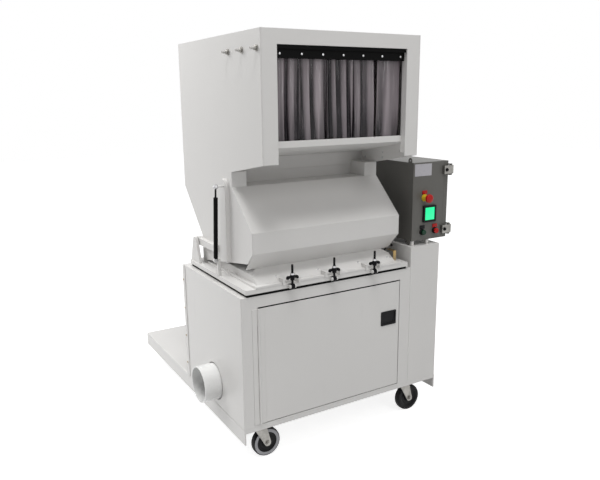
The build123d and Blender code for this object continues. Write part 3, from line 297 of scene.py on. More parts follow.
@dataclass(frozen=True)
class Moulded:
    """Moulded plastic or rubber with a fine texture."""

    name: str
    colour: Colour
    roughness: float
    texture: float = 900.0
    depth: float = 0.00004
    dust: float = 0.12
    edge: float = 0.0008
    gloss: float = 0.12

    def material(self) -> bpy.types.Material:
        """Builds the plastic.

        Returns:
            The new material.
        """
        graph = Graph(self.name)
        where = graph.place()
        grain = graph.noise(where, self.texture, 2.0)
        film = graph.noise(where, 30.0, 4.0, 0.6).above(0.45, 0.75)
        pale = tuple(channel * 0.75 + 0.07 for channel in self.colour)
        return graph.surface(
            Base_Color=graph.mix(film * self.dust, self.colour, pale),
            Roughness=self.roughness + film * 0.14 + (grain - 0.5) * 0.08,
            Normal=graph.bump(grain, self.depth, self.edge),
            Specular_IOR_Level=self.gloss,
        )


@dataclass(frozen=True)
class SmokyVinyl:
    """Clear flexible vinyl with a smoky tint, drag marks and a wet gloss."""

    name: str
    # shade is the painted shade colour of the fold hollows and the lower end; light is the tone of the
    # crests.
    shade: Colour
    light: Colour
    cover: float
    plane: float = -0.646
    fold: float = FOLD_DEPTH
    middle: float = 1.50

    def material(self) -> bpy.types.Material:
        """Builds the vinyl.

        Returns:
            A material with painted shade in the fold hollows and towards the lower end, and a glossier coat
            on the upper creases.
        """
        graph = Graph(self.name)
        where = graph.place()
        depth = graph.node("ShaderNodeSeparateXYZ", {}, {"Vector": where}, "Y")
        height = graph.node("ShaderNodeSeparateXYZ", {}, {"Vector": where}, "Z")
        # Painted shade: inside is 1 in the hollows of the folds, which the tone draws darker.
        inside = depth.above(self.plane - self.fold * 0.65, self.plane + self.fold * 0.85)
        # Painted shade: hem makes the vinyl darker towards its lower end.
        hem = height.above(self.middle - 0.02, self.middle - 0.16)
        broad = graph.noise(graph.place(stretch=(1.0, 0.2, 0.05)), 26.0, 2.0).above(0.38, 0.62)
        streaks = graph.noise(graph.place(stretch=(1.0, 1.0, 0.05)), 120.0, 4.0, 0.6)
        haze = graph.noise(where, 9.0, 3.0)
        crest = depth.above(self.plane - self.fold * 0.80, self.plane - self.fold * 1.05)
        patchy = graph.noise(graph.place(stretch=(1.0, 1.0, 0.25)), 19.0, 2.0).above(0.42, 0.52)
        crease = crest * patchy * height.above(self.middle - 0.08, self.middle)
        # The tone goes towards the shade colour in the fold hollows and at the lower end as painted shade,
        # and in random broad patches.
        tone = graph.mix(inside * 0.85 + broad * 0.40 + hem * 0.32, self.light, self.shade)
        tone = graph.mix(streaks.above(0.52, 0.8) * 0.35, tone, shaded(self.light, 1.15))
        return graph.surface(
            Base_Color=tone,
            Roughness=0.05 + haze * 0.06,
            Alpha=self.cover + (haze - 0.5) * 0.14 + streaks.above(0.5, 0.85) * 0.10,
            Coat_Weight=0.25 + crease * 0.75,
            Coat_Roughness=0.04,
            Specular_IOR_Level=0.2,
            Normal=graph.bump(streaks, 0.00025),
        )


@dataclass(frozen=True)
class LitScreen:
    """Backlit display behind a clear window."""

    name: str
    colour: Colour
    strength: float

    def material(self) -> bpy.types.Material:
        """Builds the lit window.

        Returns:
            The new material.
        """
        graph = Graph(self.name)
        spread = graph.noise(graph.place(), 40.0, 1.0)
        lines = graph.node(
            "ShaderNodeTexWave", {"bands_direction": "Z"}, {"Vector": graph.place(), "Scale": 160.0}, 1
        )
        glow = graph.mix(spread * 0.25 + lines * 0.08, self.colour, shaded(self.colour, 0.55))
        return graph.surface(
            Base_Color=shaded(self.colour, 0.2),
            Roughness=0.12,
            Emission_Color=glow,
            Emission_Strength=self.strength,
        )


class Finish(Enum):
    """Every finish on the machine."""

    WHITE_PAINT = PowderCoat("white_coat", (0.70, 0.69, 0.675))
    GREY_PAINT = PowderCoat("grey_coat", (0.125, 0.122, 0.113), 0.42, 0.00010, 0.0016)
    MOTOR_PAINT = PowderCoat("motor_enamel", (0.09, 0.11, 0.13), 0.40, 0.00012)
    GROUND_STEEL = BareMetal("ground_bright", (0.56, 0.55, 0.53), 0.34, (0.06, 1.0, 1.0))
    CAST_IRON = BareMetal("rough_casting", (0.20, 0.20, 0.20), 0.55, depth=0.0002)
    BRIGHT_ZINC = BareMetal("bright_plating", (0.62, 0.62, 0.63), 0.30)
    DULL_ZINC = BareMetal("dull_plating", (0.34, 0.33, 0.31), 0.42)
    YELLOW_ZINC = BareMetal("yellow_plating", (0.37, 0.26, 0.11), 0.45, second=(0.28, 0.22, 0.13))
    BLACK_OXIDE = BareMetal("blackened_steel", (0.010, 0.010, 0.011), 0.42)
    BLACK_PAINT = PowderCoat("black_coat", (0.004, 0.004, 0.004), 0.38, 0.00008, 0.0010, 0.05, 0.0)
    BLACK_PLASTIC = Moulded("moulded_black", (0.007, 0.007, 0.008), 0.38)
    GASKET_RUBBER = Moulded("soft_gasket", (0.007, 0.007, 0.007), 0.70, 400.0, 0.00010, gloss=0.06)
    TYRE_RUBBER = Moulded("tyre_tread", (0.010, 0.010, 0.011), 0.50, 500.0, 0.00010, 0.25)
    # Pale side band rubber, used as a painted highlight on the lit side of one wheel.
    PALE_RUBBER = Moulded("lit_tyre_wall", (0.40, 0.40, 0.42), 0.42, 500.0, 0.00008, 0.30, gloss=0.3)
    HUB_PLASTIC = Moulded("moulded_hub", (0.006, 0.006, 0.007), 0.32)
    PIPE_PLASTIC = Moulded("moulded_pipe", (0.80, 0.80, 0.79), 0.22, 300.0, 0.00003, 0.10, 0.0015, 0.4)
    RED_PLASTIC = Moulded("moulded_red", (0.43, 0.010, 0.009), 0.26, gloss=0.2)
    GREEN_PLASTIC = Moulded("moulded_green", (0.004, 0.040, 0.018), 0.24, gloss=0.2)
    YELLOW_PLASTIC = Moulded("moulded_yellow", (0.62, 0.42, 0.02), 0.32, gloss=0.2)
    LABEL_FOIL = Moulded("bare_foil", (0.46, 0.45, 0.48), 0.28, 250.0, 0.00002, 0.2, gloss=0.4)
    # The vinyl's first colour is its painted shade in the fold hollows and at the lower end.
    VINYL = SmokyVinyl("smoky_strip", (0.016, 0.013, 0.016), (0.375, 0.328, 0.350), 0.84)
    SCREEN = LitScreen("lit_window", (0.0, 0.98, 0.36), 1.0)

    def material(self) -> bpy.types.Material:
        """The finish's material, made on first use."""
        return bpy.data.materials.get(self.value.name) or self.value.material()


NODE_FINISHES: dict[Finish, tuple[str, ...]] = {
    Finish.WHITE_PAINT: (
        "base_deck", "cabinet_shell", "front_door", "rear_cover", "drive_guard", "hopper_sides",
        "hopper_roof_back", "hopper_front", "hopper_base", "feed_floor", "throat_front", "chamber_plate",
        "hopper_supports", "hopper_fittings",
    ),
    Finish.GREY_PAINT: ("enclosure_body", "enclosure_door"),
    Finish.MOTOR_PAINT: ("motor",),
    Finish.GROUND_STEEL: ("rotor", "fly_knives", "sizing_screen", "discharge_chute", "motor_pulley"),
    Finish.CAST_IRON: ("cutting_chamber",),
    Finish.DULL_ZINC: (
        "door_clamp_top", "door_clamp_bottom", "caster_plates", "caster_fork_front_left",
        "caster_fork_front_right", "caster_fork_rear_left", "caster_fork_rear_right",
    ),
    Finish.YELLOW_ZINC: ("interlock_bracket",),
    Finish.BLACK_OXIDE: ("strut_rod",),
    Finish.BLACK_PAINT: ("strut_cylinder", "curtain_bar"),
    Finish.BLACK_PLASTIC: ("latch_cup", "latch_paddle", "panel_meter"),
    Finish.GASKET_RUBBER: ("chamber_gasket", "drive_belts"),
    Finish.PIPE_PLASTIC: ("outlet_pipe",),
}


def axis_turn(axis: Point) -> Matrix:
    """Turn that takes +Z to axis."""
    return Vector(UP).rotation_difference(Vector(axis)).to_matrix().to_4x4()


def dome(radius: float, height: float) -> list[Pair]:
    """Outline of a low button head that stands on height 0."""
    return [
        (0.0, 0.0), (radius, 0.0), (radius, height * 0.35), (radius * 0.86, height * 0.75),
        (radius * 0.5, height * 0.97), (0.0, height),
    ]


def threaded(radius: float, low: float, high: float, plain: float) -> list[Pair]:
    """Outline of a threaded bar.

    Args:
        radius: Outer radius of the thread.
        low: Height of the lower end.
        high: Height of the upper end.
        plain: Length of the smooth shank at the lower end.

    Returns:
        Pairs of radius and height, from the axis out and back.
    """
    outline = [(0.0, low), (radius, low)]
    for turn in range(int((high - low - plain - THREAD_END) / THREAD_PITCH)):
        height = low + plain + turn * THREAD_PITCH
        outline += [(radius - THREAD_DEPTH, height), (radius, height + THREAD_PITCH / 2)]
    return outline + [(radius - THREAD_CHAMFER, high), (0.0, high)]


def socket_head(radius: float, height: float) -> list[Pair]:
    """Outline of a button head with a socket, standing on height 0."""
    return [
        (0.0, 0.0), (radius, 0.0), (radius, height * 0.4), (radius * 0.85, height * 0.8),
        (radius * 0.55, height), (radius * 0.42, height), (radius * 0.38, height * 0.5), (0.0, height * 0.45),
    ]


class Shape:
    """A mesh under construction; each call adds one closed form."""

    def __init__(self) -> None:
        """Starts empty."""
        self.mesh = bmesh.new()

    def absorb(self, form: bmesh.types.BMesh, place: Matrix) -> "Shape":
        """Adds a finished form and frees it.

        Args:
            form: Mesh to add.
            place: Where it goes.

        Returns:
            This shape.
        """
        bmesh.ops.transform(form, matrix=place, verts=form.verts)
        bmesh.ops.recalc_face_normals(form, faces=form.faces)
        carrier = bpy.data.meshes.new("carrier")
        form.to_mesh(carrier)
        self.mesh.from_mesh(carrier)
        bpy.data.meshes.remove(carrier)
        form.free()
        return self

    @staticmethod
    def soften(form: bmesh.types.BMesh, radius: float, segments: int) -> None:
        """Bevels the edges that turn sharply.

        Args:
            form: Mesh to bevel.
            radius: Width of the bevel.
            segments: Steps across it.
        """
        edges = [edge for edge in form.edges if edge.is_manifold and edge.calc_face_angle() > SHARP_TURN]
        bmesh.ops.bevel(
            form, geom=edges, offset=radius, offset_type="OFFSET", affect="EDGES", segments=segments,
            profile=0.5, material=-1, clamp_overlap=True,
        )

    def block(self, low: Point, high: Point, radius: float, segments: int = 2) -> "Shape":
        """Adds a box with rounded edges.

        Args:
            low: Corner with the lowest coordinates.
            high: Corner with the highest coordinates.
            radius: Rounding of the edges.
            segments: Steps across the rounding.

        Returns:
            This shape.
        """
        form = bmesh.new()
        bmesh.ops.create_cube(form, size=1.0)
        size = Vector(high) - Vector(low)
        bmesh.ops.scale(form, vec=size, verts=form.verts)
        self.soften(form, radius, segments)
        return self.absorb(form, Matrix.Translation((Vector(low) + Vector(high)) / 2))

    def drum(
        self, base: Point, axis: Point, radius: float, length: float, sides: int = 32, edge: float = 0.0005
    ) -> "Shape":
        """Adds a round or many-sided bar.

        Args:
            base: Middle of its lower end.
            axis: Direction of its length.
            radius: Radius to the corners.
            length: Length along the axis.
            sides: Number of sides.
            edge: Rounding of its edges.

        Returns:
            This shape.
        """
        form = bmesh.new()
        lift = Matrix.Translation((0.0, 0.0, length / 2))
        bmesh.ops.create_cone(
            form, cap_ends=True, segments=sides, radius1=radius, radius2=radius, depth=length, matrix=lift
        )
        self.soften(form, edge, 2)
        return self.absorb(form, Matrix.Translation(base) @ axis_turn(axis))

    def lathe(self, base: Point, axis: Point, outline: Sequence[Pair], steps: int = 48) -> "Shape":
        """Adds a turned form.

        Args:
            base: Point on the axis that the outline's heights start from.
            axis: Direction of the heights.
            outline: Pairs of radius and height; a closed ring repeats its first pair.
            steps: Facets round the axis.

        Returns:
            This shape.
        """
        form = bmesh.new()
        points = [form.verts.new((radius, 0.0, height)) for radius, height in outline]
        edges = [form.edges.new(pair) for pair in zip(points, points[1:])]
        bmesh.ops.spin(
            form, geom=points + edges, cent=(0.0, 0.0, 0.0), axis=UP, angle=math.tau, steps=steps,
            use_merge=True,
        )
        bmesh.ops.remove_doubles(form, verts=form.verts, dist=MERGE_DISTANCE)
        return self.absorb(form, Matrix.Translation(base) @ axis_turn(axis))

    def plate(self, outline: Sequence[Point], along: Point, radius: float, segments: int = 2) -> "Shape":
        """Adds a slab with rounded edges.

        Args:
            outline: Corners of one face, in order.
            along: Vector to the opposite face.
            radius: Rounding of the edges.
            segments: Steps across the rounding.

        Returns:
            This shape.
        """
        form = bmesh.new()
        face = form.faces.new([form.verts.new(point) for point in outline])
        pushed = bmesh.ops.extrude_face_region(form, geom=[face])["geom"]
        moved = [item for item in pushed if isinstance(item, bmesh.types.BMVert)]
        bmesh.ops.translate(form, vec=along, verts=moved)
        bmesh.ops.recalc_face_normals(form, faces=form.faces)
        self.soften(form, radius, segments)
        return self.absorb(form, Matrix.Identity(4))

    def piece(
        self, name: str, body: str, finish: Finish, slot: str, replaced: Iterable[str] = ()
    ) -> bpy.types.Object:
        """Turns the shape into a piece of the machine.

        Args:
            name: Piece name.
            body: Body that it rides on.
            finish: Its finish.
            slot: The record's material slot; not used.
            replaced: Solids that it stands for.

        Returns:
            The new object.
        """
        data = bpy.data.meshes.new(name)
        self.mesh.to_mesh(data)
        self.mesh.free()
        data.shade_smooth()
        data.set_sharp_from_angle(angle=SMOOTH_LIMIT)
        data.materials.append(finish.material())
        item = bpy.data.objects.new(name, data)
        bpy.context.scene.collection.objects.link(item)
        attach(item, body)
        if replaced:
            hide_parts(*replaced)
        LOG.info("piece %s rides on %s", name, body)
        return item


@dataclass
class Studio:
    """Floor, light and camera of the photograph."""

    camera_at: Point = (-1.4926, -2.7121, 1.4960)
    yaw: float = 30.62
    pitch: float = 12.84
    roll: float = 0.54
    focal: float = 629.17
    centre: Pair = (299.46, 239.39)
    image: Pair = (600.0, 480.0)
    sensor: float = 36.0
    floor_tone: Colour = (0.62, 0.62, 0.62)
    floor_glow: float = 0.80
    sky: float = 0.29
    far: float = 60.0
    floor_half: float = 14.0
    lamps: tuple[tuple[str, Point, Point, Pair, float], ...] = (
        ("top_box", (-1.5, -2.7, 9.3), (0.0, -0.2, 0.8), (3.2, 3.2), 440.0),
        ("left_box", (-2.3, 1.6, 3.0), (-0.3, 0.4, 0.6), (2.0, 2.0), 64.0),
        ("front_box", (1.1, -3.9, 3.9), (0.0, 0.0, 0.8), (1.6, 1.6), 27.0),
        ("strip_light", (0.7, -4.2, 2.3), (0.0, 0.0, 1.5), (0.20, 1.5), 10.0),
    )

    def camera(self) -> None:
        """Sets the camera at the photograph's place and angle."""
        lens = bpy.data.cameras.new("camera")
        lens.sensor_width = self.sensor
        lens.lens = self.focal * self.sensor / self.image[0]
        lens.shift_x = (self.image[0] / 2 - self.centre[0]) / self.image[0]
        lens.shift_y = (self.centre[1] - self.image[1] / 2) / self.image[0]
        lens.clip_end = self.far
        eye = bpy.data.objects.new("camera", lens)
        bpy.context.scene.collection.objects.link(eye)
        turn = Matrix.Rotation(math.radians(-self.yaw), 4, "Z")
        tip = Matrix.Rotation(math.radians(90.0 - self.pitch), 4, "X")
        lean = Matrix.Rotation(math.radians(-self.roll), 4, "Z")
        eye.matrix_world = Matrix.Translation(self.camera_at) @ turn @ tip @ lean
        bpy.context.scene.camera = eye

    def floor(self) -> None:
        """Lays a large pale floor that is white to the camera and keeps the shadow."""
        form = bmesh.new()
        bmesh.ops.create_grid(form, x_segments=2, y_segments=2, size=self.floor_half)
        data = bpy.data.meshes.new("floor")
        form.to_mesh(data)
        form.free()
        graph = Graph("pale_floor")
        graph.surface(
            Base_Color=self.floor_tone,
            Roughness=0.8,
            Emission_Color=graph.seen() * self.floor_glow,
            Emission_Strength=1.0,
        )
        data.materials.append(graph.material)
        ground = bpy.data.objects.new("floor", data)
        bpy.context.scene.collection.objects.link(ground)

    def lamp(self, name: str, at: Point, aim: Point, size: Pair, power: float) -> None:
        """Adds one soft box.

        Args:
            name: Lamp name.
            at: Its place.
            aim: Point that it faces.
            size: Width and height.
            power: Watts.
        """
        light = bpy.data.lights.new(name, "AREA")
        light.shape = "RECTANGLE"
        light.size, light.size_y = size
        light.energy = power
        lamp = bpy.data.objects.new(name, light)
        bpy.context.scene.collection.objects.link(lamp)
        way = (Vector(aim) - Vector(at)).to_track_quat("-Z", "Y")
        lamp.matrix_world = Matrix.Translation(at) @ way.to_matrix().to_4x4()
        lamp.visible_camera = False

    def world(self) -> None:
        """Even surroundings that look white to the camera, in metal and through glass."""
        graph = Surroundings("studio")
        graph.surface(Color=(1.0, 1.0, 1.0), Strength=graph.seen() * (1.0 - self.sky) + self.sky)

    def build(self) -> None:
        """Sets up everything round the machine."""
        bpy.context.scene.view_settings.view_transform = "Standard"
        self.camera()
        self.floor()
        self.world()
        for lamp in self.lamps:
            self.lamp(*lamp)


@dataclass
class Curtain:
    """Vinyl strips behind the feed opening and the screws that hold their bar."""

    strips: int = 5
    top_gap: float = 0.004
    thickness: float = 0.0018
    columns: int = 72
    rows: int = 40
    fold: float = FOLD_DEPTH
    hem_wave: float = 0.004
    measure_steps: int = 200
    measure_at: float = 0.6
    screws: int = 7
    screw_inset: float = 0.020
    screw_rise: float = 0.016
    bar_depth: float = 0.010
    screw_head: Pair = (0.0045, 0.003)
    folds: tuple[tuple[float, float, float], ...] = (
        (2.4, 0.3, 1.0), (2.1, 1.9, 1.0), (2.5, 0.9, 0.9), (1.8, 2.7, 1.0), (1.2, 0.2, 0.60),
    )

    def offset(self, number: int, across: float, down: float) -> float:
        """Depth of the folded vinyl.

        Args:
            number: Strip number from the left.
            across: Place across the strip, 0 to 1.
            down: Place from the bar to the lower edge, 0 to 1.

        Returns:
            Metres towards the inside.
        """
        waves, lead, depth = self.folds[number - 1]
        grow = 0.62 + 0.38 * min(1.0, down * 2.0)
        drift = 0.8 * math.sin(1.7 * down + number) * (0.3 + down)
        phase = math.tau * waves * across + lead + drift
        second = 0.38 * math.sin(1.63 * phase + 1.1 * number)
        third = 0.16 * math.sin(3.1 * phase)
        return self.fold * depth * grow * (math.sin(phase) + second + third)

    def strip(self, number: int) -> None:
        """Hangs one folded strip in place of its solid.

        Args:
            number: Strip number from the left.
        """
        node = f"curtain_strip_{number}"
        low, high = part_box(node)
        width, drop = high.x - low.x, high.z - low.z - self.top_gap
        middle = (low + high) / 2
        form = bmesh.new()
        bmesh.ops.create_grid(form, x_segments=self.columns, y_segments=self.rows, size=0.5)
        for vert in form.verts:
            across, down = vert.co.x + 0.5, 0.5 - vert.co.y
            hem = self.hem_wave * math.sin(9.0 * across + 2.0 * number) * max(0.0, down - 0.9) * 10.0
            vert.co = (
                low.x + across * width,
                middle.y + self.offset(number, across, down),
                high.z - self.top_gap - down * drop + hem,
            )
        bmesh.ops.recalc_face_normals(form, faces=form.faces)
        bmesh.ops.solidify(form, geom=form.faces, thickness=self.thickness)
        hung = Shape().absorb(form, Matrix.Identity(4))
        sheet = hung.piece(f"vinyl_strip_{number}", node, Finish.VINYL, "curtain_vinyl", [node])

    def bar_screws(self) -> None:
        """Sets the row of screws along the black bar."""
        low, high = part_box("curtain_bar")
        shape = Shape()
        face = low.y + self.bar_depth
        level = low.z + self.screw_rise
        pitch = (high.x - low.x - 2.0 * self.screw_inset) / (self.screws - 1)
        for number in range(self.screws):
            x = low.x + self.screw_inset + number * pitch
            shape.lathe((x, face, level), FRONT, dome(*self.screw_head), 20)
        shape.piece("curtain_screws", "hopper", Finish.BRIGHT_ZINC, "zinc")

    def build(self) -> None:
        """Builds strips and screws."""
        for number in range(1, self.strips + 1):
            self.strip(number)
        self.bar_screws()


@dataclass
class Casters:
    """Wheels with a soft tread on a dark hub."""

    places: tuple[str, ...] = ("front_left", "front_right", "rear_left", "rear_right")
    # Painted highlight: the wheels listed here get pale side bands, for the light on their side; the other
    # wheels keep dark bands.
    pale: tuple[str, ...] = ("front_left",)
    tread_inner: float = 0.047
    half: float = 0.016
    well_depth: float = 0.002
    rim_drop: float = 0.0045
    bore: float = 0.0061
    boss: float = 0.019
    facets: int = 72

    def wheel(self, place: str) -> None:
        """Turns one wheel in place of its solid.

        Args:
            place: Corner of the machine that it carries.
        """
        node = f"caster_wheel_{place}"
        low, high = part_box(node)
        hub = (low + high) / 2
        radius = (high.z - low.z) / 2
        half = self.half
        well = half - self.well_depth
        rim = radius - self.rim_drop
        tread = [
            (self.tread_inner, -well), (rim, -well), (rim, -half + 0.0005), (radius - 0.0028, -half + 0.0012),
            (radius - 0.0006, -half + 0.006), (radius, -0.004), (radius, 0.004),
            (radius - 0.0006, half - 0.006), (radius - 0.0028, half - 0.0012), (rim, half - 0.0005),
            (rim, well), (self.tread_inner, well), (self.tread_inner, -well),
        ]
        Shape().lathe(hub, BACK, tread, self.facets).piece(
            f"tread_{place}", node, Finish.TYRE_RUBBER, "wheel_rubber", [node]
        )
        # Painted highlight: pale side bands only on the listed wheels.
        band = Finish.PALE_RUBBER if place in self.pale else Finish.TYRE_RUBBER
        inner = self.tread_inner - 0.0015
        sides = Shape()
        for side in (-1.0, 1.0):
            outline = [
                (inner, side * well), (inner, side * (half - 0.0012)),
                (inner + 0.003, side * (half - 0.0003)), (rim - 0.003, side * (half - 0.0003)),
                (rim - 0.0006, side * (half - 0.0012)), (rim - 0.0006, side * well), (inner, side * well),
            ]
            sides.lathe(hub, BACK, outline, self.facets)
        sides.piece(f"band_{place}", node, band, "wheel_rubber")
        bore, boss = self.bore, self.boss
        disc = [
            (bore, -0.018), (boss - 0.002, -0.018), (boss, -0.016), (boss + 0.003, -0.009),
            (0.036, -0.0085), (0.040, -0.012), (self.tread_inner, -0.0135), (self.tread_inner, 0.0135),
            (0.040, 0.012), (0.036, 0.0085), (boss + 0.003, 0.009), (boss, 0.016), (boss - 0.002, 0.018),
            (bore, 0.018), (bore, -0.018),
        ]
        Shape().lathe(hub, BACK, disc, self.facets).piece(
            f"hub_{place}", node, Finish.HUB_PLASTIC, "wheel_rubber"
        )

    def build(self) -> None:
        """Builds the four wheels."""
        for place in self.places:
            self.wheel(place)


@dataclass
class HopperClamps:
    """Swing bolts with threads and the T-bars that turn on them."""

    count: int = 3
    bolt: float = 0.005
    eye_rise: float = 0.011
    pin_bore: float = 0.00405
    hub_rise: float = 0.005
    hub_height: float = 0.016
    hub_bore: float = 0.00505
    play: float = 0.0004

    def swing_bolt(self, number: int) -> None:
        """Makes one eye bolt with its collar and nut.

        Args:
            number: Clamp number from the left.
        """
        node = f"swing_bolt_{number}"
        low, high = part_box(node)
        x = (low.x + high.x) / 2
        y = (low.y + high.y) / 2
        eye = low.z + self.eye_rise
        outline = threaded(self.bolt, 0.008, high.z - eye, 0.022)
        bar_low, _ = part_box(f"clamp_bar_{number}")
        under = bar_low.z + self.hub_rise - self.play - eye
        over = bar_low.z + self.hub_rise + self.hub_height + self.play
        ring = [
            (self.pin_bore, -0.008), (0.0095, -0.008), (0.011, -0.0065), (0.011, 0.0065), (0.0095, 0.008),
            (self.pin_bore, 0.008), (self.pin_bore, -0.008),
        ]
        collar = [(0.004, under - 0.004), (0.009, under - 0.004), (0.009, under), (0.004, under)]
        shape = Shape().lathe((x, y, eye), UP, outline, 24)
        shape.lathe((x, y, eye), RIGHT, ring, 32)
        shape.lathe((x, y, eye), UP, collar + collar[:1], 32)
        shape.piece(f"eye_bolt_{number}", node, Finish.BLACK_OXIDE, "black_steel", [node])
        nut = Shape().drum((x, y, over), UP, 0.009, 0.008, 6, 0.0008)
        nut.piece(f"swing_nut_{number}", node, Finish.BRIGHT_ZINC, "zinc")

    def t_bar(self, number: int) -> None:
        """Makes one forged T-bar with dropped ends.

        Args:
            number: Clamp number from the left.
        """
        node = f"clamp_bar_{number}"
        low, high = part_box(node)
        x = (low.x + high.x) / 2
        y = (low.y + high.y) / 2
        half = (high.x - low.x) / 2
        hub_low = low.z + self.hub_rise
        front = y - 0.006
        outline = [
            (x - half, front, low.z + 0.005), (x - half + 0.008, front, low.z + 0.004),
            (x - half + 0.012, front, low.z + 0.008), (x + half - 0.012, front, low.z + 0.008),
            (x + half - 0.008, front, low.z + 0.004), (x + half, front, low.z + 0.005),
            (x + half, front, low.z + 0.013), (x + half - 0.005, front, low.z + 0.018),
            (x - half + 0.005, front, low.z + 0.018), (x - half, front, low.z + 0.013),
        ]
        boss = [
            (self.hub_bore, 0.0), (0.0092, 0.0), (0.010, 0.001), (0.010, 0.0148), (0.0088, self.hub_height),
            (self.hub_bore, self.hub_height), (self.hub_bore, 0.0),
        ]
        shape = Shape().plate(outline, (0.0, 0.012, 0.0), 0.0022, 3)
        shape.lathe((x, y, hub_low), UP, boss, 32)
        shape.piece(f"t_bar_{number}", node, Finish.BLACK_OXIDE, "black_steel", [node])

    def build(self) -> None:
        """Builds the three clamps."""
        for number in range(1, self.count + 1):
            self.swing_bolt(number)
            self.t_bar(number)


@dataclass
class ControlPanel:
    """Buttons, legends, meter window and bare label on the enclosure's front."""

    face_axis: Point = FRONT
    legend: tuple[float, float, float] = (0.028, 0.004, 0.016)
    hole: float = 0.0082
    stem: float = 0.0079
    meter_depth: float = 0.009
    meter_rim: float = 0.0095
    meter_recess: float = 0.0026
    label: tuple[float, float, float] = (0.098, 0.0008, 0.054)
    label_inset: Pair = (0.008, 0.028)

    @staticmethod
    def centre(node: str) -> Pair:
        """Middle of a node as X and Z."""
        low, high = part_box(node)
        return (low.x + high.x) / 2, (low.z + high.z) / 2

    def stop_mushroom(self, face: float) -> None:
        """Turns the emergency stop and its yellow collar.

        Args:
            face: Y of the enclosure's front.
        """
        x, z = self.centre("estop_button")
        collar = [
            (self.hole, 0.0), (0.0164, 0.0), (0.0164, 0.003), (0.0152, 0.005), (0.0148, 0.0205),
            (0.0138, 0.022), (self.hole, 0.022), (self.hole, 0.0),
        ]
        Shape().lathe((x, face, z), self.face_axis, collar, 48).piece(
            "estop_collar", "machine", Finish.YELLOW_PLASTIC, "black_plastic", ["control_bezels"]
        )
        head = [
            (0.0, 0.001), (self.stem, 0.001), (self.stem, 0.0285), (0.0185, 0.0285), (0.0197, 0.0300),
            (0.0200, 0.0340), (0.0188, 0.0385), (0.0150, 0.0412), (0.0090, 0.0420), (0.0, 0.0418),
        ]
        Shape().lathe((x, face, z), self.face_axis, head, 56).piece(
            "estop_head", "estop_button", Finish.RED_PLASTIC, "red_plastic", ["estop_button"]
        )

    def push_button(self, node: str, face: float, finish: Finish, slot: str) -> None:
        """Turns one push button and its bezel.

        Args:
            node: Button that it replaces.
            face: Y of the enclosure's front.
            finish: Finish of the cap.
            slot: The record's material slot of the cap.
        """
        x, z = self.centre(node)
        bezel = [
            (self.hole, 0.0), (0.0145, 0.0), (0.0145, 0.0045), (0.0132, 0.007), (0.0122, 0.007),
            (self.hole, 0.0062), (self.hole, 0.0),
        ]
        Shape().lathe((x, face, z), self.face_axis, bezel, 40).piece(
            f"{node}_bezel", "machine", Finish.BLACK_PLASTIC, "black_plastic"
        )
        cap = [
            (0.0, 0.001), (self.stem, 0.001), (self.stem, 0.0115), (0.0117, 0.0115), (0.0120, 0.0125),
            (0.0120, 0.0165), (0.0108, 0.0182), (0.0060, 0.0184), (0.0, 0.0180),
        ]
        turned = Shape().lathe((x, face, z), self.face_axis, cap, 40)
        turned.piece(f"{node}_cap", node, finish, slot, [node])

    def legend_plate(self, name: str, x: float, low_z: float, face: float, finish: Finish) -> None:
        """Sets one bare legend plate above a control.

        Args:
            name: Piece name.
            x: Middle of the control.
            low_z: Lower edge of the plate.
            face: Y of the enclosure's front.
            finish: Finish of the plate.
        """
        width, depth, height = self.legend
        Shape().block(
            (x - width / 2, face - depth, low_z), (x + width / 2, face, low_z + height), 0.0012
        ).piece(name, "machine", finish, "black_plastic")

    def meter_window(self) -> None:
        """Sets the lit window into the meter."""
        low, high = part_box("panel_meter")
        rim = self.meter_rim
        back = low.y + self.meter_recess
        Shape().block(
            (low.x + rim, back - 0.0012, low.z + rim), (high.x - rim, back, high.z - rim), 0.0004
        ).piece("meter_window", "machine", Finish.SCREEN, "green_plastic")

    def bare_label(self, face: float) -> None:
        """Sets the bare foil plate near the top.

        Args:
            face: Y of the enclosure's front.
        """
        low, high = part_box("enclosure_body")
        left, top = low.x + self.label_inset[0], high.z - self.label_inset[1]
        width, depth, height = self.label
        plate = Shape().block((left, face - depth, top - height), (left + width, face, top), 0.0003, 1)
        plate.piece("bare_label", "machine", Finish.LABEL_FOIL, "zinc")

    def build(self) -> None:
        """Builds all the controls."""
        low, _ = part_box("panel_meter")
        face = low.y + self.meter_depth
        self.stop_mushroom(face)
        self.push_button("start_button", face, Finish.GREEN_PLASTIC, "green_plastic")
        self.push_button("stop_button", face, Finish.RED_PLASTIC, "red_plastic")
        for node, lift, finish in (
            ("start_button", 0.0146, Finish.BLACK_PLASTIC),
            ("stop_button", 0.0146, Finish.RED_PLASTIC),
            ("estop_button", 0.0166, Finish.RED_PLASTIC),
        ):
            x, z = self.centre(node)
            self.legend_plate(f"{node}_legend", x, z + lift, face, finish)
        self.meter_window()
        self.bare_label(face)


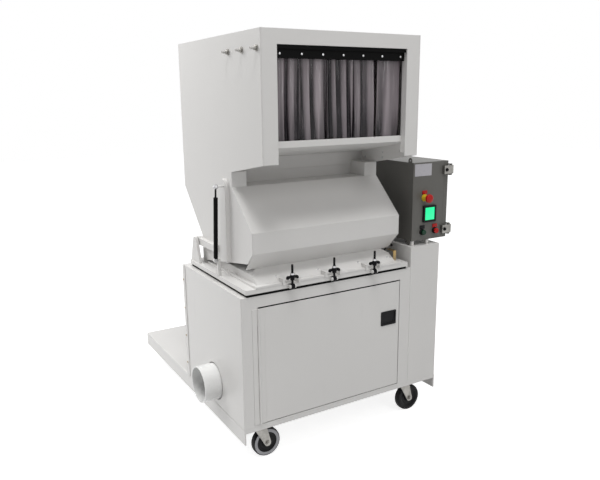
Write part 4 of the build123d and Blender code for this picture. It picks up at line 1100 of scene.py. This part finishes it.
@dataclass
class Fasteners:
    """Screws, studs and nuts on the painted sheet metal, the enclosure's feet, and black strips in the door's
    gap as painted shade.
    """

    wall: float = 0.004
    side_screws: tuple[Pair, ...] = (
        (-0.587, 1.261), (-0.464, 1.247), (-0.464, 1.224), (-0.335, 1.218),
    )
    skirt_screws: tuple[float, ...] = (-0.331, -0.131, 0.076, 0.236, 0.254)
    skirt_at: Pair = (-0.5602, 0.7870)
    skirt_axis: Point = (0.0, -0.587, 0.809)
    cover_rows: int = 4
    door_depth: float = 0.020
    box_front: float = -0.581
    box_back: float = -0.276
    box_low: float = 0.848
    facets: int = 20
    side_head: Pair = (0.005, 0.003)
    skirt_head: Pair = (0.0042, 0.0026)
    cover_head: Pair = (0.0048, 0.0012)
    sheet_head: Pair = (0.0055, 0.003)
    cover_edge: float = 0.011
    rear_inset: float = 0.016
    guard_inset: float = 0.018
    guard_steps: int = 3
    studs: int = 3
    stud_first: float = 0.028
    stud_pitch: float = 0.120
    stud_drop: float = 0.067
    foot_half: float = 0.0073
    # Width of the black strips that stand in the door's gap as painted shade.
    gap_shade_width: float = 0.0014

    def screws(
        self, name: str, body: str, places: Iterable[tuple[Point, Point]], head: Pair,
        finish: Finish = Finish.BRIGHT_ZINC,
    ) -> None:
        """Sets a group of screws as one piece.

        Args:
            name: Piece name.
            body: Body that it rides on.
            places: Foot and direction of each head.
            head: Radius and height of the heads.
            finish: Their plating.
        """
        shape = Shape()
        for at, axis in places:
            shape.lathe(at, axis, socket_head(*head), self.facets)
        shape.piece(name, body, finish, "zinc")

    def hopper_sides(self) -> None:
        """Screws the feed floor to both side sheets."""
        low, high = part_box("hopper_sides")
        places = []
        for y, z in self.side_screws:
            places.append(((high.x - self.wall, y, z), LEFT))
            places.append(((low.x + self.wall, y, z), RIGHT))
        self.screws("side_screws", "hopper", places, self.side_head)

    def hopper_skirt(self) -> None:
        """Screws along the skirt's front."""
        places = [((x, *self.skirt_at), self.skirt_axis) for x in self.skirt_screws]
        self.screws("skirt_screws", "hopper", places, self.skirt_head)

    def roof_studs(self) -> None:
        """Plates the three studs below the roof, with washers and nuts."""
        low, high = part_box("hopper_sides")
        shape = Shape()
        washer = [(0.0, 0.0), (0.0124, 0.0), (0.0124, 0.0024), (0.0118, 0.0029), (0.0, 0.0029)]
        for number in range(self.studs):
            at = (low.x, low.y + self.stud_first + number * self.stud_pitch, high.z - self.stud_drop)
            nut = (low.x - 0.0026, at[1], at[2])
            shape.lathe(at, LEFT, washer, 32)
            shape.drum(nut, LEFT, 0.0094, 0.0084, 6, 0.0008)
            shape.lathe(at, LEFT, threaded(0.0053, 0.008, 0.0264, 0.003), self.facets)
        shape.piece("roof_studs", "hopper", Finish.DULL_ZINC, "zinc")

    def enclosure_feet(self) -> None:
        """Paints the four feet that carry the control enclosure."""
        low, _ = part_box("enclosure_body")
        _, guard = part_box("drive_guard")
        shape = Shape()
        half = self.foot_half
        for x in (low.x + 0.011, low.x + 0.098):
            for y in (self.box_front + 0.010, self.box_back - 0.010):
                shape.block((x - half, y - half, guard.z), (x + half, y + half, self.box_low), 0.001)
        shape.piece("enclosure_feet", "machine", Finish.WHITE_PAINT, "paint_white")

    def cover_screws(self) -> None:
        """Plates the screws down the rear cover's left edge."""
        low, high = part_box("rear_cover")
        pitch = (high.z - low.z) / self.cover_rows
        levels = [low.z + pitch * (row + 0.5) for row in range(self.cover_rows)]
        places = [((low.x, high.y - self.cover_edge, level), LEFT) for level in levels]
        self.screws("cover_screws", "machine", places, self.cover_head, Finish.YELLOW_ZINC)

    def rear_screws(self) -> None:
        """Screws round the rear cover's edge."""
        low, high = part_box("rear_cover")
        inset = self.rear_inset
        pitch = (high.z - low.z - 2.0 * inset) / self.cover_rows
        columns = (low.x + inset, high.x - inset)
        edges = (low.z + inset, high.z - inset)
        spots = [(x, low.z + inset + pitch * row) for x in columns for row in range(self.cover_rows + 1)]
        step = (columns[1] - columns[0]) / 4.0
        spots += [(columns[0] + step * mark, z) for mark in (1, 2, 3) for z in edges]
        self.screws("rear_screws", "machine", [((x, high.y, z), BACK) for x, z in spots], self.sheet_head)

    def guard_screws(self) -> None:
        """Screws round the drive guard's outer side."""
        low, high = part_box("drive_guard")
        inset, last = self.guard_inset, self.guard_steps
        rise = (high.z - low.z - 2.0 * inset) / last
        run = (high.y - low.y - 2.0 * inset) / last
        places = []
        for row in range(last + 1):
            for step in range(last + 1):
                if row in (0, last) or step in (0, last):
                    places.append(((high.x, low.y + inset + run * step, low.z + inset + rise * row), RIGHT))
        self.screws("guard_screws", "machine", places, self.sheet_head)

    def door_gap_shade(self) -> None:
        """Lays black strips in the gap along the three free edges of the front door, as painted shade for the
        gap's shadow.
        """
        low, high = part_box("front_door")
        front = high.y - self.door_depth + 0.0012
        back = high.y - 0.004
        left = low.x + 0.010
        shape = Shape()
        # Black strips as painted shade in the gap above, below and beside the door.
        for first, second in (
            ((left, front, high.z), (high.x, back, high.z + self.gap_shade_width)),
            ((left, front, low.z - self.gap_shade_width), (high.x, back, low.z)),
            ((high.x, front, low.z), (high.x + self.gap_shade_width, back, high.z)),
        ):
            shape.block(first, second, 0.0004, 1)
        shape.piece("door_gap_shade", "front_door", Finish.GASKET_RUBBER, "gasket_rubber")

    def clamp_screws(self) -> None:
        """Puts the hexagon screw in each enclosure clamp's foot."""
        for place in ("top", "bottom"):
            low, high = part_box(f"door_clamp_{place}")
            x, z = low.x + 0.013, (low.z + high.z) / 2.0
            face = low.y + 0.0017
            shape = Shape().drum((x, face + 0.0006, z), FRONT, 0.0085, 0.0016, 28, 0.0003)
            shape.drum((x, face - 0.0008, z), FRONT, 0.0066, 0.0052, 6, 0.0007)
            shape.piece(f"clamp_screw_{place}", f"door_clamp_{place}", Finish.BLACK_OXIDE, "black_steel")

    def build(self) -> None:
        """Sets all the fasteners."""
        self.rear_screws()
        self.guard_screws()
        self.clamp_screws()
        self.door_gap_shade()
        self.hopper_sides()
        self.hopper_skirt()
        self.roof_studs()
        self.enclosure_feet()
        self.cover_screws()


@dataclass
class StrutEnds:
    """Plated eyes at both ends of the gas strut."""

    eye: float = 0.0094
    foot: Pair = (-0.344, 0.830)
    head: Pair = (-0.371, 1.142)

    def eyelet(self, name: str, node: str, at: Pair) -> None:
        """Plates one eye, with the pin's washer and clip on its outer face.

        Args:
            name: Piece name.
            node: Part of the strut that it plates.
            at: Y and Z of the pin's axis.
        """
        low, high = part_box("strut_rod")
        left = low.x - 0.0004
        width = high.x - low.x + 0.0002
        outline = [
            (0.0, 0.0), (self.eye - 0.0012, 0.0), (self.eye, 0.0012), (self.eye, width - 0.001),
            (self.eye - 0.001, width), (0.0, width),
        ]
        pin = [
            (0.0, 0.0), (0.0062, 0.0), (0.0062, 0.0012), (0.0042, 0.0016), (0.0040, 0.0036),
            (0.0030, 0.0042), (0.0, 0.0042),
        ]
        shape = Shape().lathe((left, *at), RIGHT, outline, 36)
        shape.lathe((left, *at), LEFT, pin, 28)
        shape.piece(name, node, Finish.BRIGHT_ZINC, "zinc")

    def build(self) -> None:
        """Plates both ends."""
        self.eyelet("strut_foot", "strut_cylinder", self.foot)
        self.eyelet("strut_head", "strut_rod", self.head)


@dataclass
class Interlock:
    """Switch beside the hopper and its short lead into the drive guard."""

    switch: tuple[Point, Point] = ((0.2865, -0.484, 0.762), (0.3045, -0.450, 0.788))
    route: tuple[Point, ...] = (
        (0.2955, -0.467, 0.790), (0.3095, -0.467, 0.830), (0.3285, -0.465, 0.830), (0.3400, -0.461, 0.811),
    )
    diameter: float = 0.005
    length: float = 0.078
    wall: float = 0.343

    def housing(self) -> None:
        """Makes the switch housing with its lid, lid screws and cable gland."""
        low, high = Vector(self.switch[0]), Vector(self.switch[1])
        rim = Vector((0.0006, 0.0006, 0.0))
        seam = high.z - 0.007
        shape = Shape().block(low, (high.x, high.y, seam - 0.0006), 0.0015)
        shape.block(low + rim + Vector((0.0, 0.0, seam - low.z - 0.001)), high - rim, 0.0012)
        middle = (low + high) / 2
        for y in (low.y + 0.005, high.y - 0.005):
            shape.lathe((middle.x, y, high.z), UP, socket_head(0.0026, 0.0016), 16)
        shape.drum((middle.x, middle.y, high.z - 0.0005), UP, 0.0064, 0.0035, 6, 0.0005)
        gland = [(0.0, 0.0), (0.0054, 0.0), (0.0050, 0.0035), (0.0032, 0.0055), (0.0, 0.0055)]
        shape.lathe((middle.x, middle.y, high.z + 0.0025), UP, gland, 28)
        shape.piece(
            "switch_housing", "machine", Finish.BLACK_PLASTIC, "black_plastic", ["interlock_switch"]
        )

    def grommet(self) -> None:
        """Makes the rubber bush where the lead enters the guard."""
        _, y, z = self.route[-1]
        outline = [
            (0.0, 0.0), (0.0060, 0.0), (0.0060, 0.0018), (0.0050, 0.0026), (0.0042, 0.0052),
            (0.0030, 0.0060), (0.0, 0.0060),
        ]
        shape = Shape().lathe((self.wall, y, z), LEFT, outline, 28)
        shape.piece("lead_grommet", "machine", Finish.GASKET_RUBBER, "black_plastic")

    def lead(self) -> None:
        """Bends the lead along its route."""
        line = bpy.data.curves.new("interlock_lead", "CURVE")
        line.dimensions = "3D"
        line.bevel_depth = self.diameter / 2
        line.bevel_resolution = 5
        line.resolution_u = 24
        line.use_fill_caps = True
        spline = line.splines.new("NURBS")
        spline.points.add(len(self.route) - 1)
        for point, place in zip(spline.points, self.route):
            point.co = (*place, 1.0)
        spline.order_u = 3
        spline.use_endpoint_u = True
        line.materials.append(Finish.GASKET_RUBBER.material())
        item = bpy.data.objects.new("interlock_lead", line)
        bpy.context.scene.collection.objects.link(item)
        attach(item, "machine")
        LOG.info("piece %s rides on machine", item.name)

    def build(self) -> None:
        """Builds the switch and its lead."""
        self.housing()
        self.grommet()
        self.lead()


def dress_nodes() -> None:
    """Gives every solid that stays in view its finish."""
    for finish, nodes in NODE_FINISHES.items():
        for node in nodes:
            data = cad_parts[node].data
            data.materials.clear()
            data.materials.append(finish.material())
            LOG.info("node %s is %s", node, finish.name)


def main() -> None:
    """Builds the studio and the machine's pieces in order."""
    logging.basicConfig(level=logging.INFO)
    Studio().build()
    Interlock().build()
    dress_nodes()
    Curtain().build()
    Casters().build()
    HopperClamps().build()
    StrutEnds().build()
    Fasteners().build()
    ControlPanel().build()


if __name__ == "__main__":
    main()
